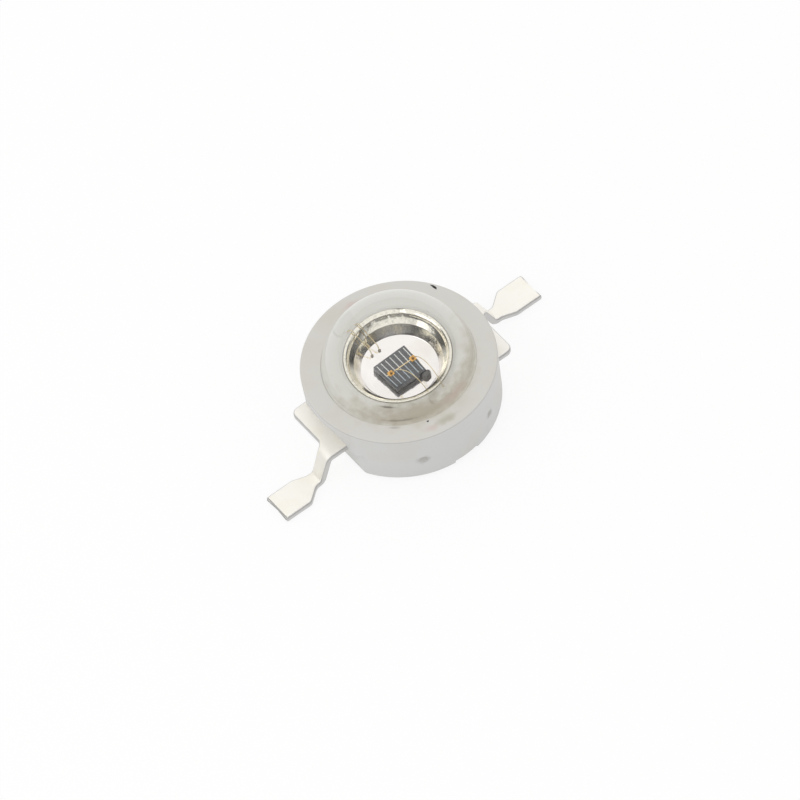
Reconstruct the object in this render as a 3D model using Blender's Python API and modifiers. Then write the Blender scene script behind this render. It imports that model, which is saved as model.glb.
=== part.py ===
"""A bare power LED emitter: a round moulded housing with a dome lens, on a copper slug
that carries the chip in a reflector cup, and two leads bent down to the board.

Metres, +Z up. The origin is in the middle of the slug's underside, which is the plane that
the two lead pads stand on too. The leads run along X.
"""

import math

import bmesh
import bpy
from mathutils import Matrix, Vector

MM = 0.001

# Chip, its silver epoxy and its top metal
CHIP_SIDE = 1.067 * MM
CHIP_THICKNESS = 0.15 * MM
CHIP_X = -0.03 * MM
CHIP_Y = -0.07 * MM
EPOXY_THICKNESS = 0.03 * MM
EPOXY_MARGIN = 0.05 * MM
EPOXY_LUMP_RADIUS = 0.13 * MM
EPOXY_LUMP_RISE = 0.08 * MM
METAL_THICKNESS = 0.012 * MM
METAL_MARGIN = 0.06 * MM
FINGER_COUNT = 7
FINGER_WIDTH = 0.022 * MM
BUS_WIDTH = 0.040 * MM
BUS_Y = 0.03 * MM
BOND_PAD_SIDE = 0.12 * MM
BOND_PAD_FINGERS = (1, -1)

# Heat slug: a round flange under a column with a reflector cup in its top. The cup's floor
# clears the chip's corners by its margin.
SLUG_THICKNESS = 0.62 * MM
SLUG_CHAMFER = 0.06 * MM
SLUG_FLANGE_WIDTH = 1.28 * MM
COLUMN_RISE = 0.15 * MM
GROOVE_LIFT = 0.08 * MM
GROOVE_HEIGHT = 0.20 * MM
GROOVE_DEPTH = 0.14 * MM
CUP_FLOOR_MARGIN = 0.3255 * MM
CUP_WALL_RUN = 0.46 * MM
CUP_RIM_WIDTH = 0.08 * MM
CUP_DEPTH = 0.45 * MM
CUP_FILLET = 0.08 * MM

# Moulded housing, with webs of plastic under and over the leads. The well round the column has
# one level floor, and the lens stands on its outer part.
WEB_UNDER_LEADS = 0.50 * MM
WEB_OVER_LEADS = 1.00 * MM
WELL_WIDTH = 0.88 * MM
BRIM_WIDTH = 0.848 * MM
BRIM_THICKNESS = 0.45 * MM
BRIM_OVER_COLUMN = 0.15 * MM
BODY_BOTTOM = 0.16 * MM
BODY_DRAFT = 0.05 * MM
BODY_EDGE = 0.10 * MM
UPPER_FLAT_DEPTH = 0.35 * MM
LOWER_FLAT_DEPTH = 0.53 * MM
WINDOW_WIDTH = 0.80 * MM
WINDOW_X = -0.28 * MM
WINDOW_FROM_COLUMN = 0.11 * MM
WINDOW_LENGTH = 0.38 * MM
FOOT_RECESS_FROM = -0.40 * MM
FOOT_RECESS_TO = 0.72 * MM
FOOT_RECESS_HEIGHT = 0.11 * MM
FOOT_RECESS_DEPTH = 0.16 * MM

# Lens
LENS_FOOT_WIDTH = 0.642 * MM
LENS_CENTRE_DROP = 0.49 * MM
LENS_BORE_HEIGHT = 0.35 * MM

# Leads, stamped from one strip and bent
LEAD_THICKNESS = 0.28 * MM
FLANGE_REACH = 0.34 * MM
FLANGE_LOW = -1.78 * MM
FLANGE_CORNER = 0.32 * MM
BEND_FROM_FLANGE = 0.02 * MM
BEND_RUN = 0.84 * MM
BEND_RADIUS = 0.27 * MM
PAD_FROM_BEND = 0.78 * MM
PAD_LENGTH = 1.27 * MM
PAD_LOW = 0.24 * MM
PAD_HIGH = 1.63 * MM
PAD_CORNER = 0.07 * MM
NECK_LOW = 0.46 * MM
NECK_HIGH = 1.13 * MM
NECK_FLARE = 0.63 * MM
NECK_FILLET = 0.42 * MM
SHOULDER_FILLET = 0.45 * MM
ARM_FROM_COLUMN = 0.26 * MM
ARM_WIDTH = 0.98 * MM
TIE_BAR_WIDTH = 0.33 * MM
TIE_BAR_ANGLE = math.radians(25)

# Gold bond wires. A loop's two heights are those of its curve's handles over the cup's rim.
WIRE_RADIUS = 0.017 * MM
BALL_RADIUS = 0.042 * MM
BALL_HEIGHT = 0.050 * MM
STITCH_LENGTH = 0.110 * MM
STITCH_WIDTH = 0.060 * MM
STITCH_HEIGHT = 0.030 * MM
FLOOR_LOOP = (0.30 * MM, 0.80 * MM)
CHIP_LOOP = (0.60 * MM, 1.10 * MM)
WIRE_POINTS = 15
POST_FROM_COLUMN = 0.35 * MM
FLOOR_BOND_FROM_CHIP = 0.385 * MM
FLOOR_BONDS_X = (-0.27 * MM, -0.02 * MM)
POST_BONDS_X = (-0.43 * MM, -0.15 * MM)
CHIP_POST_BONDS_X = (0.08 * MM, 0.55 * MM)

# Room between pieces that seat on each other. The lead is only 0.28 mm thick.
CLEARANCE = 0.010 * MM
# How far a cutter runs past the face that it opens
OVERRUN = 0.40 * MM
TURN_STEPS = 56
MERGE = 1e-8
FLAT_ANGLE = math.radians(0.02)

# Radii, from the chip outwards
cup_floor_radius = CHIP_SIDE / math.sqrt(2) + CUP_FLOOR_MARGIN
cup_rim_radius = cup_floor_radius + CUP_WALL_RUN
column_radius = cup_rim_radius + CUP_RIM_WIDTH
slug_radius = column_radius + SLUG_FLANGE_WIDTH
well_radius = column_radius + WELL_WIDTH
lens_rim_radius = well_radius + LENS_FOOT_WIDTH
body_radius = lens_rim_radius + CLEARANCE + BRIM_WIDTH
post_y = column_radius + POST_FROM_COLUMN

# Heights, from the slug's underside up
lead_bottom = SLUG_THICKNESS + WEB_UNDER_LEADS
lead_top = lead_bottom + LEAD_THICKNESS
lead_plane = (lead_bottom + lead_top) / 2
well_floor = lead_top + WEB_OVER_LEADS
column_top = well_floor + COLUMN_RISE
body_top = column_top + BRIM_OVER_COLUMN
cup_floor = column_top - CUP_DEPTH
epoxy_low = cup_floor + CLEARANCE
chip_low = epoxy_low + EPOXY_THICKNESS + CLEARANCE
chip_high = chip_low + CHIP_THICKNESS
metal_low = chip_high + CLEARANCE
metal_high = metal_low + METAL_THICKNESS

# The lens: its dome and its hollow are spheres round one centre
lens_centre = body_top - LENS_CENTRE_DROP
lens_sphere = math.hypot(lens_rim_radius, LENS_CENTRE_DROP)
lens_bore_rise = well_floor + LENS_BORE_HEIGHT - lens_centre
lens_hollow_sphere = math.hypot(well_radius, lens_bore_rise)

# The leads, from the housing's wall out to the tip
flange_edge = body_radius + FLANGE_REACH
bend_from = flange_edge + BEND_FROM_FLANGE
bend_to = bend_from + BEND_RUN
pad_inner = bend_to + PAD_FROM_BEND
lead_tip = pad_inner + PAD_LENGTH
neck_end = pad_inner - NECK_FLARE
arm_inner = column_radius + ARM_FROM_COLUMN
arm_outer = arm_inner + ARM_WIDTH


def clear_scene():
    for found in list(bpy.data.objects):
        bpy.data.objects.remove(found, do_unlink=True)


def new_collection(name):
    made = bpy.data.collections.new(name)
    bpy.context.scene.collection.children.link(made)
    return made


def material(name, colour, roughness, metallic=0.0, alpha=1.0):
    """A Principled material with the plain colour of the part."""
    made = bpy.data.materials.new(name)
    made.use_nodes = True
    shader = made.node_tree.nodes["Principled BSDF"]
    shader.inputs["Base Color"].default_value = (*colour, 1.0)
    shader.inputs["Roughness"].default_value = roughness
    shader.inputs["Metallic"].default_value = metallic
    shader.inputs["Alpha"].default_value = alpha
    return made


def add_object(name, mesh, finish=None):
    """A finish makes it a part. Without one it is a cutter, kept out of renders."""
    made = bpy.data.objects.new(name, mesh)
    if finish is None:
        cutters.objects.link(made)
        made.hide_render = True
        made.display_type = "WIRE"
    else:
        parts.objects.link(made)
        mesh.materials.append(finish)
        mesh.shade_smooth()
        mesh.set_sharp_from_angle(angle=math.radians(35))
    return made


def boolean(target, other, operation="DIFFERENCE"):
    modifier = target.modifiers.new(f"{operation.lower()} {other.name}", "BOOLEAN")
    modifier.operation = operation
    modifier.object = other
    modifier.solver = "EXACT"


def baked(source, name, finish=None):
    """A new object with the evaluated mesh of the source, which is removed. Its flat faces are
    joined into one each, so that they hold no slivers."""
    bpy.context.view_layer.update()
    graph = bpy.context.evaluated_depsgraph_get()
    mesh = bpy.data.meshes.new_from_object(source.evaluated_get(graph))
    work = bmesh.new()
    work.from_mesh(mesh)
    bmesh.ops.remove_doubles(work, verts=work.verts, dist=MERGE)
    bmesh.ops.dissolve_limit(work, angle_limit=FLAT_ANGLE, verts=work.verts, edges=work.edges)
    bmesh.ops.recalc_face_normals(work, faces=work.faces)
    work.to_mesh(mesh)
    work.free()
    mesh.materials.clear()
    mesh.transform(source.matrix_world)
    bpy.data.objects.remove(source, do_unlink=True)
    return add_object(name, mesh, finish)


def arc(centre, radius, start, end, count):
    """Points of an arc from one angle to another, both ends included."""
    turns = [start + (end - start) * i / count for i in range(count + 1)]
    return [(centre[0] + radius * math.cos(t), centre[1] + radius * math.sin(t)) for t in turns]


def rounded(corners, closed=False, count=5):
    """A path through corners of (x, y, fillet radius), with each fillet drawn as an arc.
    On an open path the first and last corners are ends and stay sharp."""
    if closed:
        corners = [corners[-1], *corners, corners[0]]
    path = [corners[0][:2]]
    for before, corner, after in zip(corners, corners[1:], corners[2:]):
        tip = Vector(corner[:2])
        back = (Vector(before[:2]) - tip).normalized()
        ahead = (Vector(after[:2]) - tip).normalized()
        half = back.angle(ahead) / 2
        centre = tip + (back + ahead).normalized() * corner[2] / math.sin(half)
        reach = corner[2] / math.tan(half)
        first = tip + back * reach - centre
        last = tip + ahead * reach - centre
        start = math.atan2(first.y, first.x)
        sweep = math.remainder(math.atan2(last.y, last.x) - start, 2 * math.pi)
        path += arc(centre, corner[2], start, start + sweep, count)
    return path[1:] if closed else path + [corners[-1][:2]]


def plate(name, outline, low, high, finish=None, upright=False):
    """A flat outline given thickness: in XY between two heights, or upright in XZ between two Y."""
    curve = bpy.data.curves.new(name, "CURVE")
    curve.dimensions = "2D"
    curve.fill_mode = "BOTH"
    curve.extrude = (high - low) / 2
    spline = curve.splines.new("POLY")
    spline.points.add(len(outline) - 1)
    for point, place in zip(spline.points, outline):
        point.co = (*place, 0, 1)
    spline.use_cyclic_u = True
    source = bpy.data.objects.new(name, curve)
    cutters.objects.link(source)
    middle = (high + low) / 2
    source.location = (0, middle, 0) if upright else (0, 0, middle)
    source.rotation_euler = (math.pi / 2, 0, 0) if upright else (0, 0, 0)
    return baked(source, name, finish)


def box(name, low, high, finish=None):
    """A block from its lowest and highest corners."""
    work = bmesh.new()
    size = Vector(high) - Vector(low)
    middle = (Vector(high) + Vector(low)) / 2
    bmesh.ops.create_cube(work, size=1, matrix=Matrix.LocRotScale(middle, None, size))
    mesh = bpy.data.meshes.new(name)
    work.to_mesh(mesh)
    work.free()
    return add_object(name, mesh, finish)


def turned(name, profile, closed, finish=None):
    """A profile of (radius, height), spun round Z. A profile that isn't closed ends on the axis."""
    mesh = bpy.data.meshes.new(name)
    count = len(profile)
    edges = [(i, i + 1) for i in range(count - 1)]
    if closed:
        edges.append((count - 1, 0))
    mesh.from_pydata([(r, 0, z) for r, z in profile], edges, [])
    made = add_object(name, mesh, finish)
    screw = made.modifiers.new("turn", "SCREW")
    screw.axis = "Z"
    screw.steps = TURN_STEPS
    screw.render_steps = TURN_STEPS
    screw.use_merge_vertices = True
    screw.merge_threshold = MERGE
    return made


def drafted_radius(height):
    """The side wall's radius, which narrows a little from the brim's edge to the foot."""
    share = (body_top - height) / (body_top - BODY_BOTTOM)
    return body_radius - BODY_DRAFT * share


def column_outline(grow):
    """The slug's stem from its top down to the flange, with the groove that the plastic locks into.
    A positive grow moves it outwards."""
    low = SLUG_THICKNESS + GROOVE_LIFT
    high = low + GROOVE_HEIGHT
    slope = GROOVE_DEPTH / 2
    return [
        (column_radius + grow, high - grow),
        (column_radius - GROOVE_DEPTH + grow, high - slope - grow),
        (column_radius - GROOVE_DEPTH + grow, low + slope + grow),
        (column_radius + grow, low + grow),
        (column_radius + grow, SLUG_THICKNESS + grow),
    ]


def lead_outline(grow=0.0):
    """Plan of the lead at +X: the pad, neck and flange outside, and inside the arm that runs
    round the slug to its bonding post, with two tie bars that end at the housing's wall.
    A positive grow moves every edge outwards, for the pocket in the plastic."""
    inner = arm_inner - grow
    outer = arm_outer + grow
    half = TIE_BAR_WIDTH / 2 + grow
    reach = body_radius + grow
    low = FLANGE_LOW - grow
    high = NECK_HIGH + grow
    path = rounded([
        (math.sqrt(inner**2 - high**2), high, 0),
        (neck_end, high, SHOULDER_FILLET),
        (pad_inner, PAD_HIGH, SHOULDER_FILLET / 2),
        (lead_tip, PAD_HIGH, PAD_CORNER),
        (lead_tip, PAD_LOW, PAD_CORNER),
        (pad_inner, PAD_LOW, SHOULDER_FILLET / 2),
        (neck_end, NECK_LOW, SHOULDER_FILLET),
        (flange_edge, NECK_LOW, NECK_FILLET),
        (flange_edge, low, FLANGE_CORNER),
        (math.sqrt(outer**2 - low**2), low, 0),
    ])
    turn = math.asin(low / outer)
    half_angle = math.asin(half / outer)
    for bar in (-math.pi / 2 + TIE_BAR_ANGLE, -math.pi / 2 - TIE_BAR_ANGLE):
        path += arc((0, 0), outer, turn, bar + half_angle, 6)[1:]
        along = Vector((math.cos(bar), math.sin(bar)))
        across = Vector((-along.y, along.x)) * half
        path += [tuple(along * reach + across), tuple(along * reach - across)]
        turn = bar - half_angle
    inner_end = bar - math.asin(half / inner)
    path.append((outer * math.cos(turn), outer * math.sin(turn)))
    path += arc((0, 0), inner, inner_end, math.asin(high / inner), 20)[:-1]
    return path


def bend_outline():
    """Side view of the lead strip: level in the housing, two equal bends and the level pad.
    The slope is the inner tangent of the two bend circles."""
    low = LEAD_THICKNESS / 2
    run = bend_to - bend_from
    lift = 2 * BEND_RADIUS - (lead_plane - low)
    slope = math.asin(2 * BEND_RADIUS / math.hypot(run, lift)) - math.atan2(lift, run)
    up = math.pi / 2

    def side(offset):
        top = arc((bend_from, lead_plane - BEND_RADIUS), BEND_RADIUS + offset, up, up - slope, 7)
        foot = arc((bend_to, low + BEND_RADIUS), BEND_RADIUS - offset, -up - slope, -up, 7)
        return (
            [(-arm_outer, lead_plane + offset)]
            + top
            + foot
            + [(lead_tip + OVERRUN, low + offset)]
        )

    return side(low) + side(-low)[::-1]


def make_housing(finish):
    seat = lens_rim_radius + CLEARANCE
    profile = [
        (body_radius - BODY_EDGE, body_top),
        *arc((body_radius - BODY_EDGE, body_top - BODY_EDGE), BODY_EDGE, math.pi / 2, 0, 3)[1:],
        (drafted_radius(BODY_BOTTOM), BODY_BOTTOM),
        (slug_radius + CLEARANCE, BODY_BOTTOM),
        (slug_radius + CLEARANCE, SLUG_THICKNESS + CLEARANCE),
        *column_outline(CLEARANCE)[::-1],
        (column_radius + CLEARANCE, well_floor),
        (seat, well_floor),
        (seat, body_top),
    ]
    housing = turned("housing", profile, True, finish)
    for side in (-1, 1):
        flat_cutter(housing, "upper flat", side, UPPER_FLAT_DEPTH, body_top - BRIM_THICKNESS)
        flat_cutter(housing, "lower flat", side, LOWER_FLAT_DEPTH, lead_plane)
        window = window_outline(side, 0)
        pocket = plate(f"window {side}", window, lead_top - CLEARANCE, well_floor + OVERRUN)
        boolean(housing, pocket)
        foot_recess(housing, side)
    for side in (-1, 1):
        slot = plate(
            f"lead pocket {side}", lead_outline(CLEARANCE), lead_bottom - CLEARANCE, lead_top + CLEARANCE
        )
        slot.rotation_euler.z = 0 if side > 0 else math.pi
        boolean(housing, slot)
    return housing


def flat_cutter(housing, name, side, depth, top):
    """Cuts the round wall flat on one lead side, below the given height."""
    wide = 2 * body_radius
    distance = body_radius - depth
    near = min(side * distance, side * wide)
    far = max(side * distance, side * wide)
    cutter = box(f"{name} {side}", (near, -wide, BODY_BOTTOM - OVERRUN), (far, wide, top))
    boolean(housing, cutter)


def foot_recess(housing, side):
    """A shallow mould mark in the foot of the wall, under the post of each lead."""
    ends = sorted((-side * FOOT_RECESS_FROM, -side * FOOT_RECESS_TO))
    deep = sorted((side * (body_radius - FOOT_RECESS_DEPTH), side * (body_radius + OVERRUN)))
    cutter = box(
        f"foot recess {side}",
        (ends[0], deep[0], BODY_BOTTOM - OVERRUN),
        (ends[1], deep[1], BODY_BOTTOM + FOOT_RECESS_HEIGHT),
    )
    boolean(housing, cutter)


def window_outline(side, grow):
    """The opening in the well's floor over a bonding post, with round ends. The window at +Y and
    the one at -Y are half a turn apart, so their middles lie to opposite sides."""
    middle = side * WINDOW_X
    half = WINDOW_WIDTH / 2 + grow
    near = side * (column_radius + WINDOW_FROM_COLUMN - grow)
    far = side * (column_radius + WINDOW_FROM_COLUMN + WINDOW_LENGTH + grow)
    corner = WINDOW_LENGTH / 3
    corners = [(half, near), (half, far), (-half, far), (-half, near)]
    return rounded([(middle + x, y, corner) for x, y in corners], closed=True)


def make_slug(finish):
    cup_centre = (cup_floor_radius - CUP_FILLET, cup_floor + CUP_FILLET)
    profile = [
        (0, cup_floor),
        *arc(cup_centre, CUP_FILLET, -math.pi / 2, -math.pi / 8, 3),
        (cup_rim_radius, column_top),
        (column_radius, column_top),
        *column_outline(0),
        (slug_radius - SLUG_CHAMFER, SLUG_THICKNESS),
        (slug_radius, SLUG_THICKNESS - SLUG_CHAMFER),
        (slug_radius, SLUG_CHAMFER),
        (slug_radius - SLUG_CHAMFER, 0),
        (0, 0),
    ]
    return turned("heat_slug", profile, False, finish)


def make_lens(finish):
    low = well_floor + CLEARANCE
    rim_turn = math.atan2(LENS_CENTRE_DROP, lens_rim_radius)
    dome = arc((0, lens_centre), lens_sphere, math.pi / 2, rim_turn, 14)
    hollow_turn = math.atan2(lens_bore_rise, well_radius)
    hollow = arc((0, lens_centre), lens_hollow_sphere, hollow_turn, math.pi / 2, 9)
    profile = [
        (0, dome[0][1]),
        *dome[1:],
        (lens_rim_radius, low),
        (well_radius, low),
        *hollow[:-1],
        (0, hollow[-1][1]),
    ]
    return turned("lens", profile, False, finish)


def make_encapsulant(finish):
    """The clear gel: it fills the well, the cup and the lens, round the chip and its wires."""
    gap = CLEARANCE
    wall = well_radius - gap
    inside = lens_hollow_sphere - gap
    dome = arc((0, lens_centre), inside, math.pi / 2, math.acos(wall / inside), 9)
    profile = [
        (0, dome[0][1]),
        *dome[1:],
        (wall, well_floor + gap),
        (column_radius + gap, well_floor + gap),
        (column_radius + gap, column_top + gap),
        (cup_rim_radius - gap, column_top + gap),
        (cup_floor_radius - gap, cup_floor + CUP_FILLET),
        (cup_floor_radius - CUP_FILLET, cup_floor + gap),
        (0, cup_floor + gap),
    ]
    gel = turned("encapsulant", profile, False, finish)
    for side in (-1, 1):
        plug = plate(
            f"gel plug {side}", window_outline(side, -gap), lead_top + gap, well_floor + 2 * gap
        )
        boolean(gel, plug, "UNION")
    return gel


def make_chip(name, finish, grow=0.0, low=chip_low, high=chip_high):
    half = CHIP_SIDE / 2 + grow
    corner_low = (CHIP_X - half, CHIP_Y - half, low)
    corner_high = (CHIP_X + half, CHIP_Y + half, high)
    return box(name, corner_low, corner_high, finish)


def make_epoxy(name, finish, grow=0.0):
    """The film of silver epoxy under the chip, with the lump that squeezed out at one corner."""
    half = CHIP_SIDE / 2 + EPOXY_MARGIN + grow
    film = box(
        name + " film",
        (CHIP_X - half, CHIP_Y - half, epoxy_low - grow),
        (CHIP_X + half, CHIP_Y + half, epoxy_low + EPOXY_THICKNESS + grow),
    )
    place = (
        CHIP_X + CHIP_SIDE / 2 + EPOXY_LUMP_RADIUS,
        CHIP_Y - CHIP_SIDE / 2 + EPOXY_LUMP_RADIUS,
        epoxy_low + EPOXY_THICKNESS,
    )
    lump = drop(name + " lump", place, EPOXY_LUMP_RADIUS + grow, EPOXY_LUMP_RISE + grow)
    below = box(
        name + " below",
        (-slug_radius, -slug_radius, epoxy_low - grow - OVERRUN),
        (slug_radius, slug_radius, epoxy_low - grow),
    )
    boolean(film, lump, "UNION")
    boolean(film, below)
    return baked(film, name, finish)


def drop(name, place, radius, height, length=None):
    """A sphere squashed to a half height, and drawn out along Y where a length is given."""
    work = bmesh.new()
    size = (radius, length or radius, height)
    shape = Matrix.LocRotScale(Vector(place), None, Vector(size))
    bmesh.ops.create_uvsphere(work, u_segments=14, v_segments=8, radius=1, matrix=shape)
    mesh = bpy.data.meshes.new(name)
    work.to_mesh(mesh)
    work.free()
    return add_object(name, mesh)


def finger_places():
    span = CHIP_SIDE - 2 * METAL_MARGIN - FINGER_WIDTH
    first = CHIP_X - span / 2
    return [first + span * i / (FINGER_COUNT - 1) for i in range(FINGER_COUNT)]


def bond_pad_places():
    """The middles of the two bond pads, where a finger crosses the bus."""
    fingers = finger_places()
    return [(fingers[i], CHIP_Y + BUS_Y) for i in BOND_PAD_FINGERS]


def make_top_metal(finish):
    """The gold comb on the chip: fingers across a bus, with a square bond pad at two crossings.
    Its outline runs along one side of the bus and back along the other, out and back at each
    finger, and in two steps where the finger stands on a pad."""
    pads = [x for x, _ in bond_pad_places()]
    reach = CHIP_SIDE / 2 - METAL_MARGIN
    middle = CHIP_Y + BUS_Y
    outline = []
    for side in (1, -1):
        bus_edge = middle + side * BUS_WIDTH / 2
        pad_edge = middle + side * BOND_PAD_SIDE / 2
        steps = [(FINGER_WIDTH / 2, CHIP_Y + side * reach)]
        for x in finger_places()[::side]:
            stair = [(BOND_PAD_SIDE / 2, pad_edge), *steps] if x in pads else steps
            base = bus_edge
            out = []
            for half, edge in stair:
                out += [(half, base), (half, edge)]
                base = edge
            outline += [(x - side * half, y) for half, y in out]
            outline += [(x + side * half, y) for half, y in out[::-1]]
    return plate("top_metal", outline, metal_low, metal_high, finish)


def wire_path(start, end, loop):
    """A bond wire's middle line: a Bezier curve that leaves both bonds straight up."""
    start, end = Vector(start), Vector(end)
    rise = Vector((start.x, start.y, column_top + loop[0]))
    fall = Vector((end.x, end.y, column_top + loop[1]))
    points = []
    for i in range(WIRE_POINTS):
        t = i / (WIRE_POINTS - 1)
        u = 1 - t
        points.append(u**3 * start + 3 * u * u * t * rise + 3 * u * t * t * fall + t**3 * end)
    return points


def make_wire(name, start, end, loop, finish=None, grow=0.0):
    """A gold wire with its ball on the first bond and its stitch on the second, as one solid."""
    curve = bpy.data.curves.new(name, "CURVE")
    curve.dimensions = "3D"
    curve.bevel_depth = WIRE_RADIUS + grow
    curve.bevel_resolution = 1
    curve.use_fill_caps = True
    points = wire_path(start, end, loop)
    spline = curve.splines.new("POLY")
    spline.points.add(len(points) - 1)
    for point, place in zip(spline.points, points):
        point.co = (*place, 1)
    source = bpy.data.objects.new(name, curve)
    cutters.objects.link(source)
    tube = baked(source, name + " tube")
    ball = drop(name + " ball", start, BALL_RADIUS + grow, BALL_HEIGHT / 2 + grow)
    stitch = drop(
        name + " stitch",
        end,
        STITCH_WIDTH / 2 + grow,
        STITCH_HEIGHT / 2 + grow,
        STITCH_LENGTH / 2 + grow,
    )
    boolean(tube, ball, "UNION")
    boolean(tube, stitch, "UNION")
    return baked(tube, name, finish)


def bond_wires():
    """First bond, second bond and loop of each wire: two from the cup's floor to the post at +Y,
    and two from the chip's bond pads to the post at -Y."""
    floor = cup_floor + CLEARANCE + BALL_HEIGHT / 2
    pad = metal_high + CLEARANCE + BALL_HEIGHT / 2
    post = lead_top + CLEARANCE + STITCH_HEIGHT / 2
    bond_y = CHIP_Y + CHIP_SIDE / 2 + FLOOR_BOND_FROM_CHIP
    wires = []
    for bond_x, post_x in zip(FLOOR_BONDS_X, POST_BONDS_X):
        wires.append(((bond_x, bond_y, floor), (post_x, post_y, post), FLOOR_LOOP))
    for (x, y), post_x in zip(bond_pad_places(), CHIP_POST_BONDS_X):
        wires.append(((x, y, pad), (post_x, -post_y, post), CHIP_LOOP))
    return wires


def make_leads(finish):
    """The two leads are one stamping, turned half a turn from each other."""
    strip = plate("lead strip", bend_outline(), -body_radius - OVERRUN, body_radius, upright=True)
    blank = plate("lead blank", lead_outline(), -OVERRUN, body_top)
    boolean(blank, strip, "INTERSECT")
    anode = baked(blank, "anode_lead", finish)
    cathode = bpy.data.objects.new("cathode_lead", anode.data)
    cathode.rotation_euler.z = math.pi
    parts.objects.link(cathode)


def main():
    white = material("moulded white plastic", (0.63, 0.62, 0.60), 0.45)
    clear = material("clear lens plastic", (0.85, 0.86, 0.87), 0.05, alpha=0.35)
    gel_finish = material("clear silicone gel", (0.88, 0.88, 0.86), 0.10, alpha=0.30)
    silver = material("silver plating", (0.88, 0.86, 0.82), 0.30, 1.0)
    chip_finish = material("gallium nitride chip", (0.05, 0.055, 0.06), 0.25)
    epoxy = material("silver epoxy", (0.10, 0.10, 0.11), 0.40, 0.6)
    gold = material("gold", (0.83, 0.55, 0.20), 0.25, 1.0)

    make_housing(white)
    make_slug(silver)
    make_leads(silver)
    make_lens(clear)
    make_epoxy("die_attach", epoxy)
    make_chip("led_chip", chip_finish)
    make_top_metal(gold)

    gel = make_encapsulant(gel_finish)
    boolean(gel, make_epoxy("epoxy pocket", None, CLEARANCE))
    boolean(gel, make_chip("chip pocket", None, CLEARANCE, cup_floor, metal_high + CLEARANCE))
    for number, wire in enumerate(bond_wires(), 1):
        make_wire(f"bond_wire_{number}", *wire, gold)
        boolean(gel, make_wire(f"wire tunnel {number}", *wire, None, CLEARANCE))


clear_scene()
parts = new_collection("power_led_emitter")
cutters = new_collection("cutters")
main()
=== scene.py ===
"""The look of a bare power LED emitter: moulded housing, clear dome, reflector cup with a combed
chip and gold wires, and two silver-plated leads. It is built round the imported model.

Metres, +Z up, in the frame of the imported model. The leads run along X.
"""

import math

import bpy
import numpy as np
from bpy.props import FloatProperty, FloatVectorProperty, IntProperty, PointerProperty
from mathutils import Matrix, Vector


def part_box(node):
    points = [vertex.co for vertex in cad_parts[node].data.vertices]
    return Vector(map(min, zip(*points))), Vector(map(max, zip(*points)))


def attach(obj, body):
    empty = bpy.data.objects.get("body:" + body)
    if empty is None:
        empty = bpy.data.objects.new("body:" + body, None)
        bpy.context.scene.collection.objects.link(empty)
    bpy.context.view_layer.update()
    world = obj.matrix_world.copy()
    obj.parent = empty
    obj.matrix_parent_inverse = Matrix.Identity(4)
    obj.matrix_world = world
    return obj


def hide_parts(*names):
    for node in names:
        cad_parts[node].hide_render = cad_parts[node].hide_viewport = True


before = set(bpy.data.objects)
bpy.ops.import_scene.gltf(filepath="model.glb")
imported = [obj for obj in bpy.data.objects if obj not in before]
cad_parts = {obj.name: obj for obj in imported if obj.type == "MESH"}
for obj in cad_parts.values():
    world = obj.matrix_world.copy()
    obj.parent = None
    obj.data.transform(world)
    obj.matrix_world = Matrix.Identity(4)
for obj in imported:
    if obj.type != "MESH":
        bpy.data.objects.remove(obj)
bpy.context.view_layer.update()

bl_info = {
    "name": "Power LED emitter",
    "version": (1, 0, 0),
    "blender": (4, 5, 0),
    "location": "View3D > Sidebar > LED emitter",
    "description": "Builds the pieces, materials and studio of a bare power LED emitter",
    "category": "Object",
}

MM = 0.001
IMAGE_SIDE = 800
# Gap at the joints between the solids
JOINT = 0.01 * MM

box = {name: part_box(name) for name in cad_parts}
axis_radius = box["housing"][1].x
body_top = box["housing"][1].z
body_bottom = box["housing"][0].z
dome_top = box["lens"][1].z
dome_rim = box["lens"][1].x
seat_height = box["lens"][0].z
slug_radius = box["heat_slug"][1].x
column_top = box["heat_slug"][1].z
lead_top = box["anode_lead"][1].z
lead_tip = box["anode_lead"][1].x
pad_high = box["anode_lead"][1].y


def linear(code):
    """Linear light of an sRGB colour written as six hex digits."""
    part = np.array([int(code[i : i + 2], 16) for i in (0, 2, 4)]) / 255
    light = np.where(part <= 0.04045, part / 12.92, ((part + 0.055) / 1.055) ** 2.4)
    return tuple(float(v) for v in light)


def length(name, description, default):
    """A size property in metres."""
    return FloatProperty(
        name=name, description=description, default=default, unit="LENGTH", precision=6
    )


def angle(name, description, degrees):
    """An angle property, whose default is given in degrees."""
    return FloatProperty(
        name=name, description=description, default=math.radians(degrees), subtype="ANGLE"
    )


def number(name, description, default):
    """A property that is a plain number."""
    return FloatProperty(name=name, description=description, default=default, precision=4)


def colour(name, description, code):
    """A colour property whose default is an sRGB hex value."""
    return FloatVectorProperty(
        name=name, description=description, default=linear(code), subtype="COLOR", min=0, max=1
    )


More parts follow.
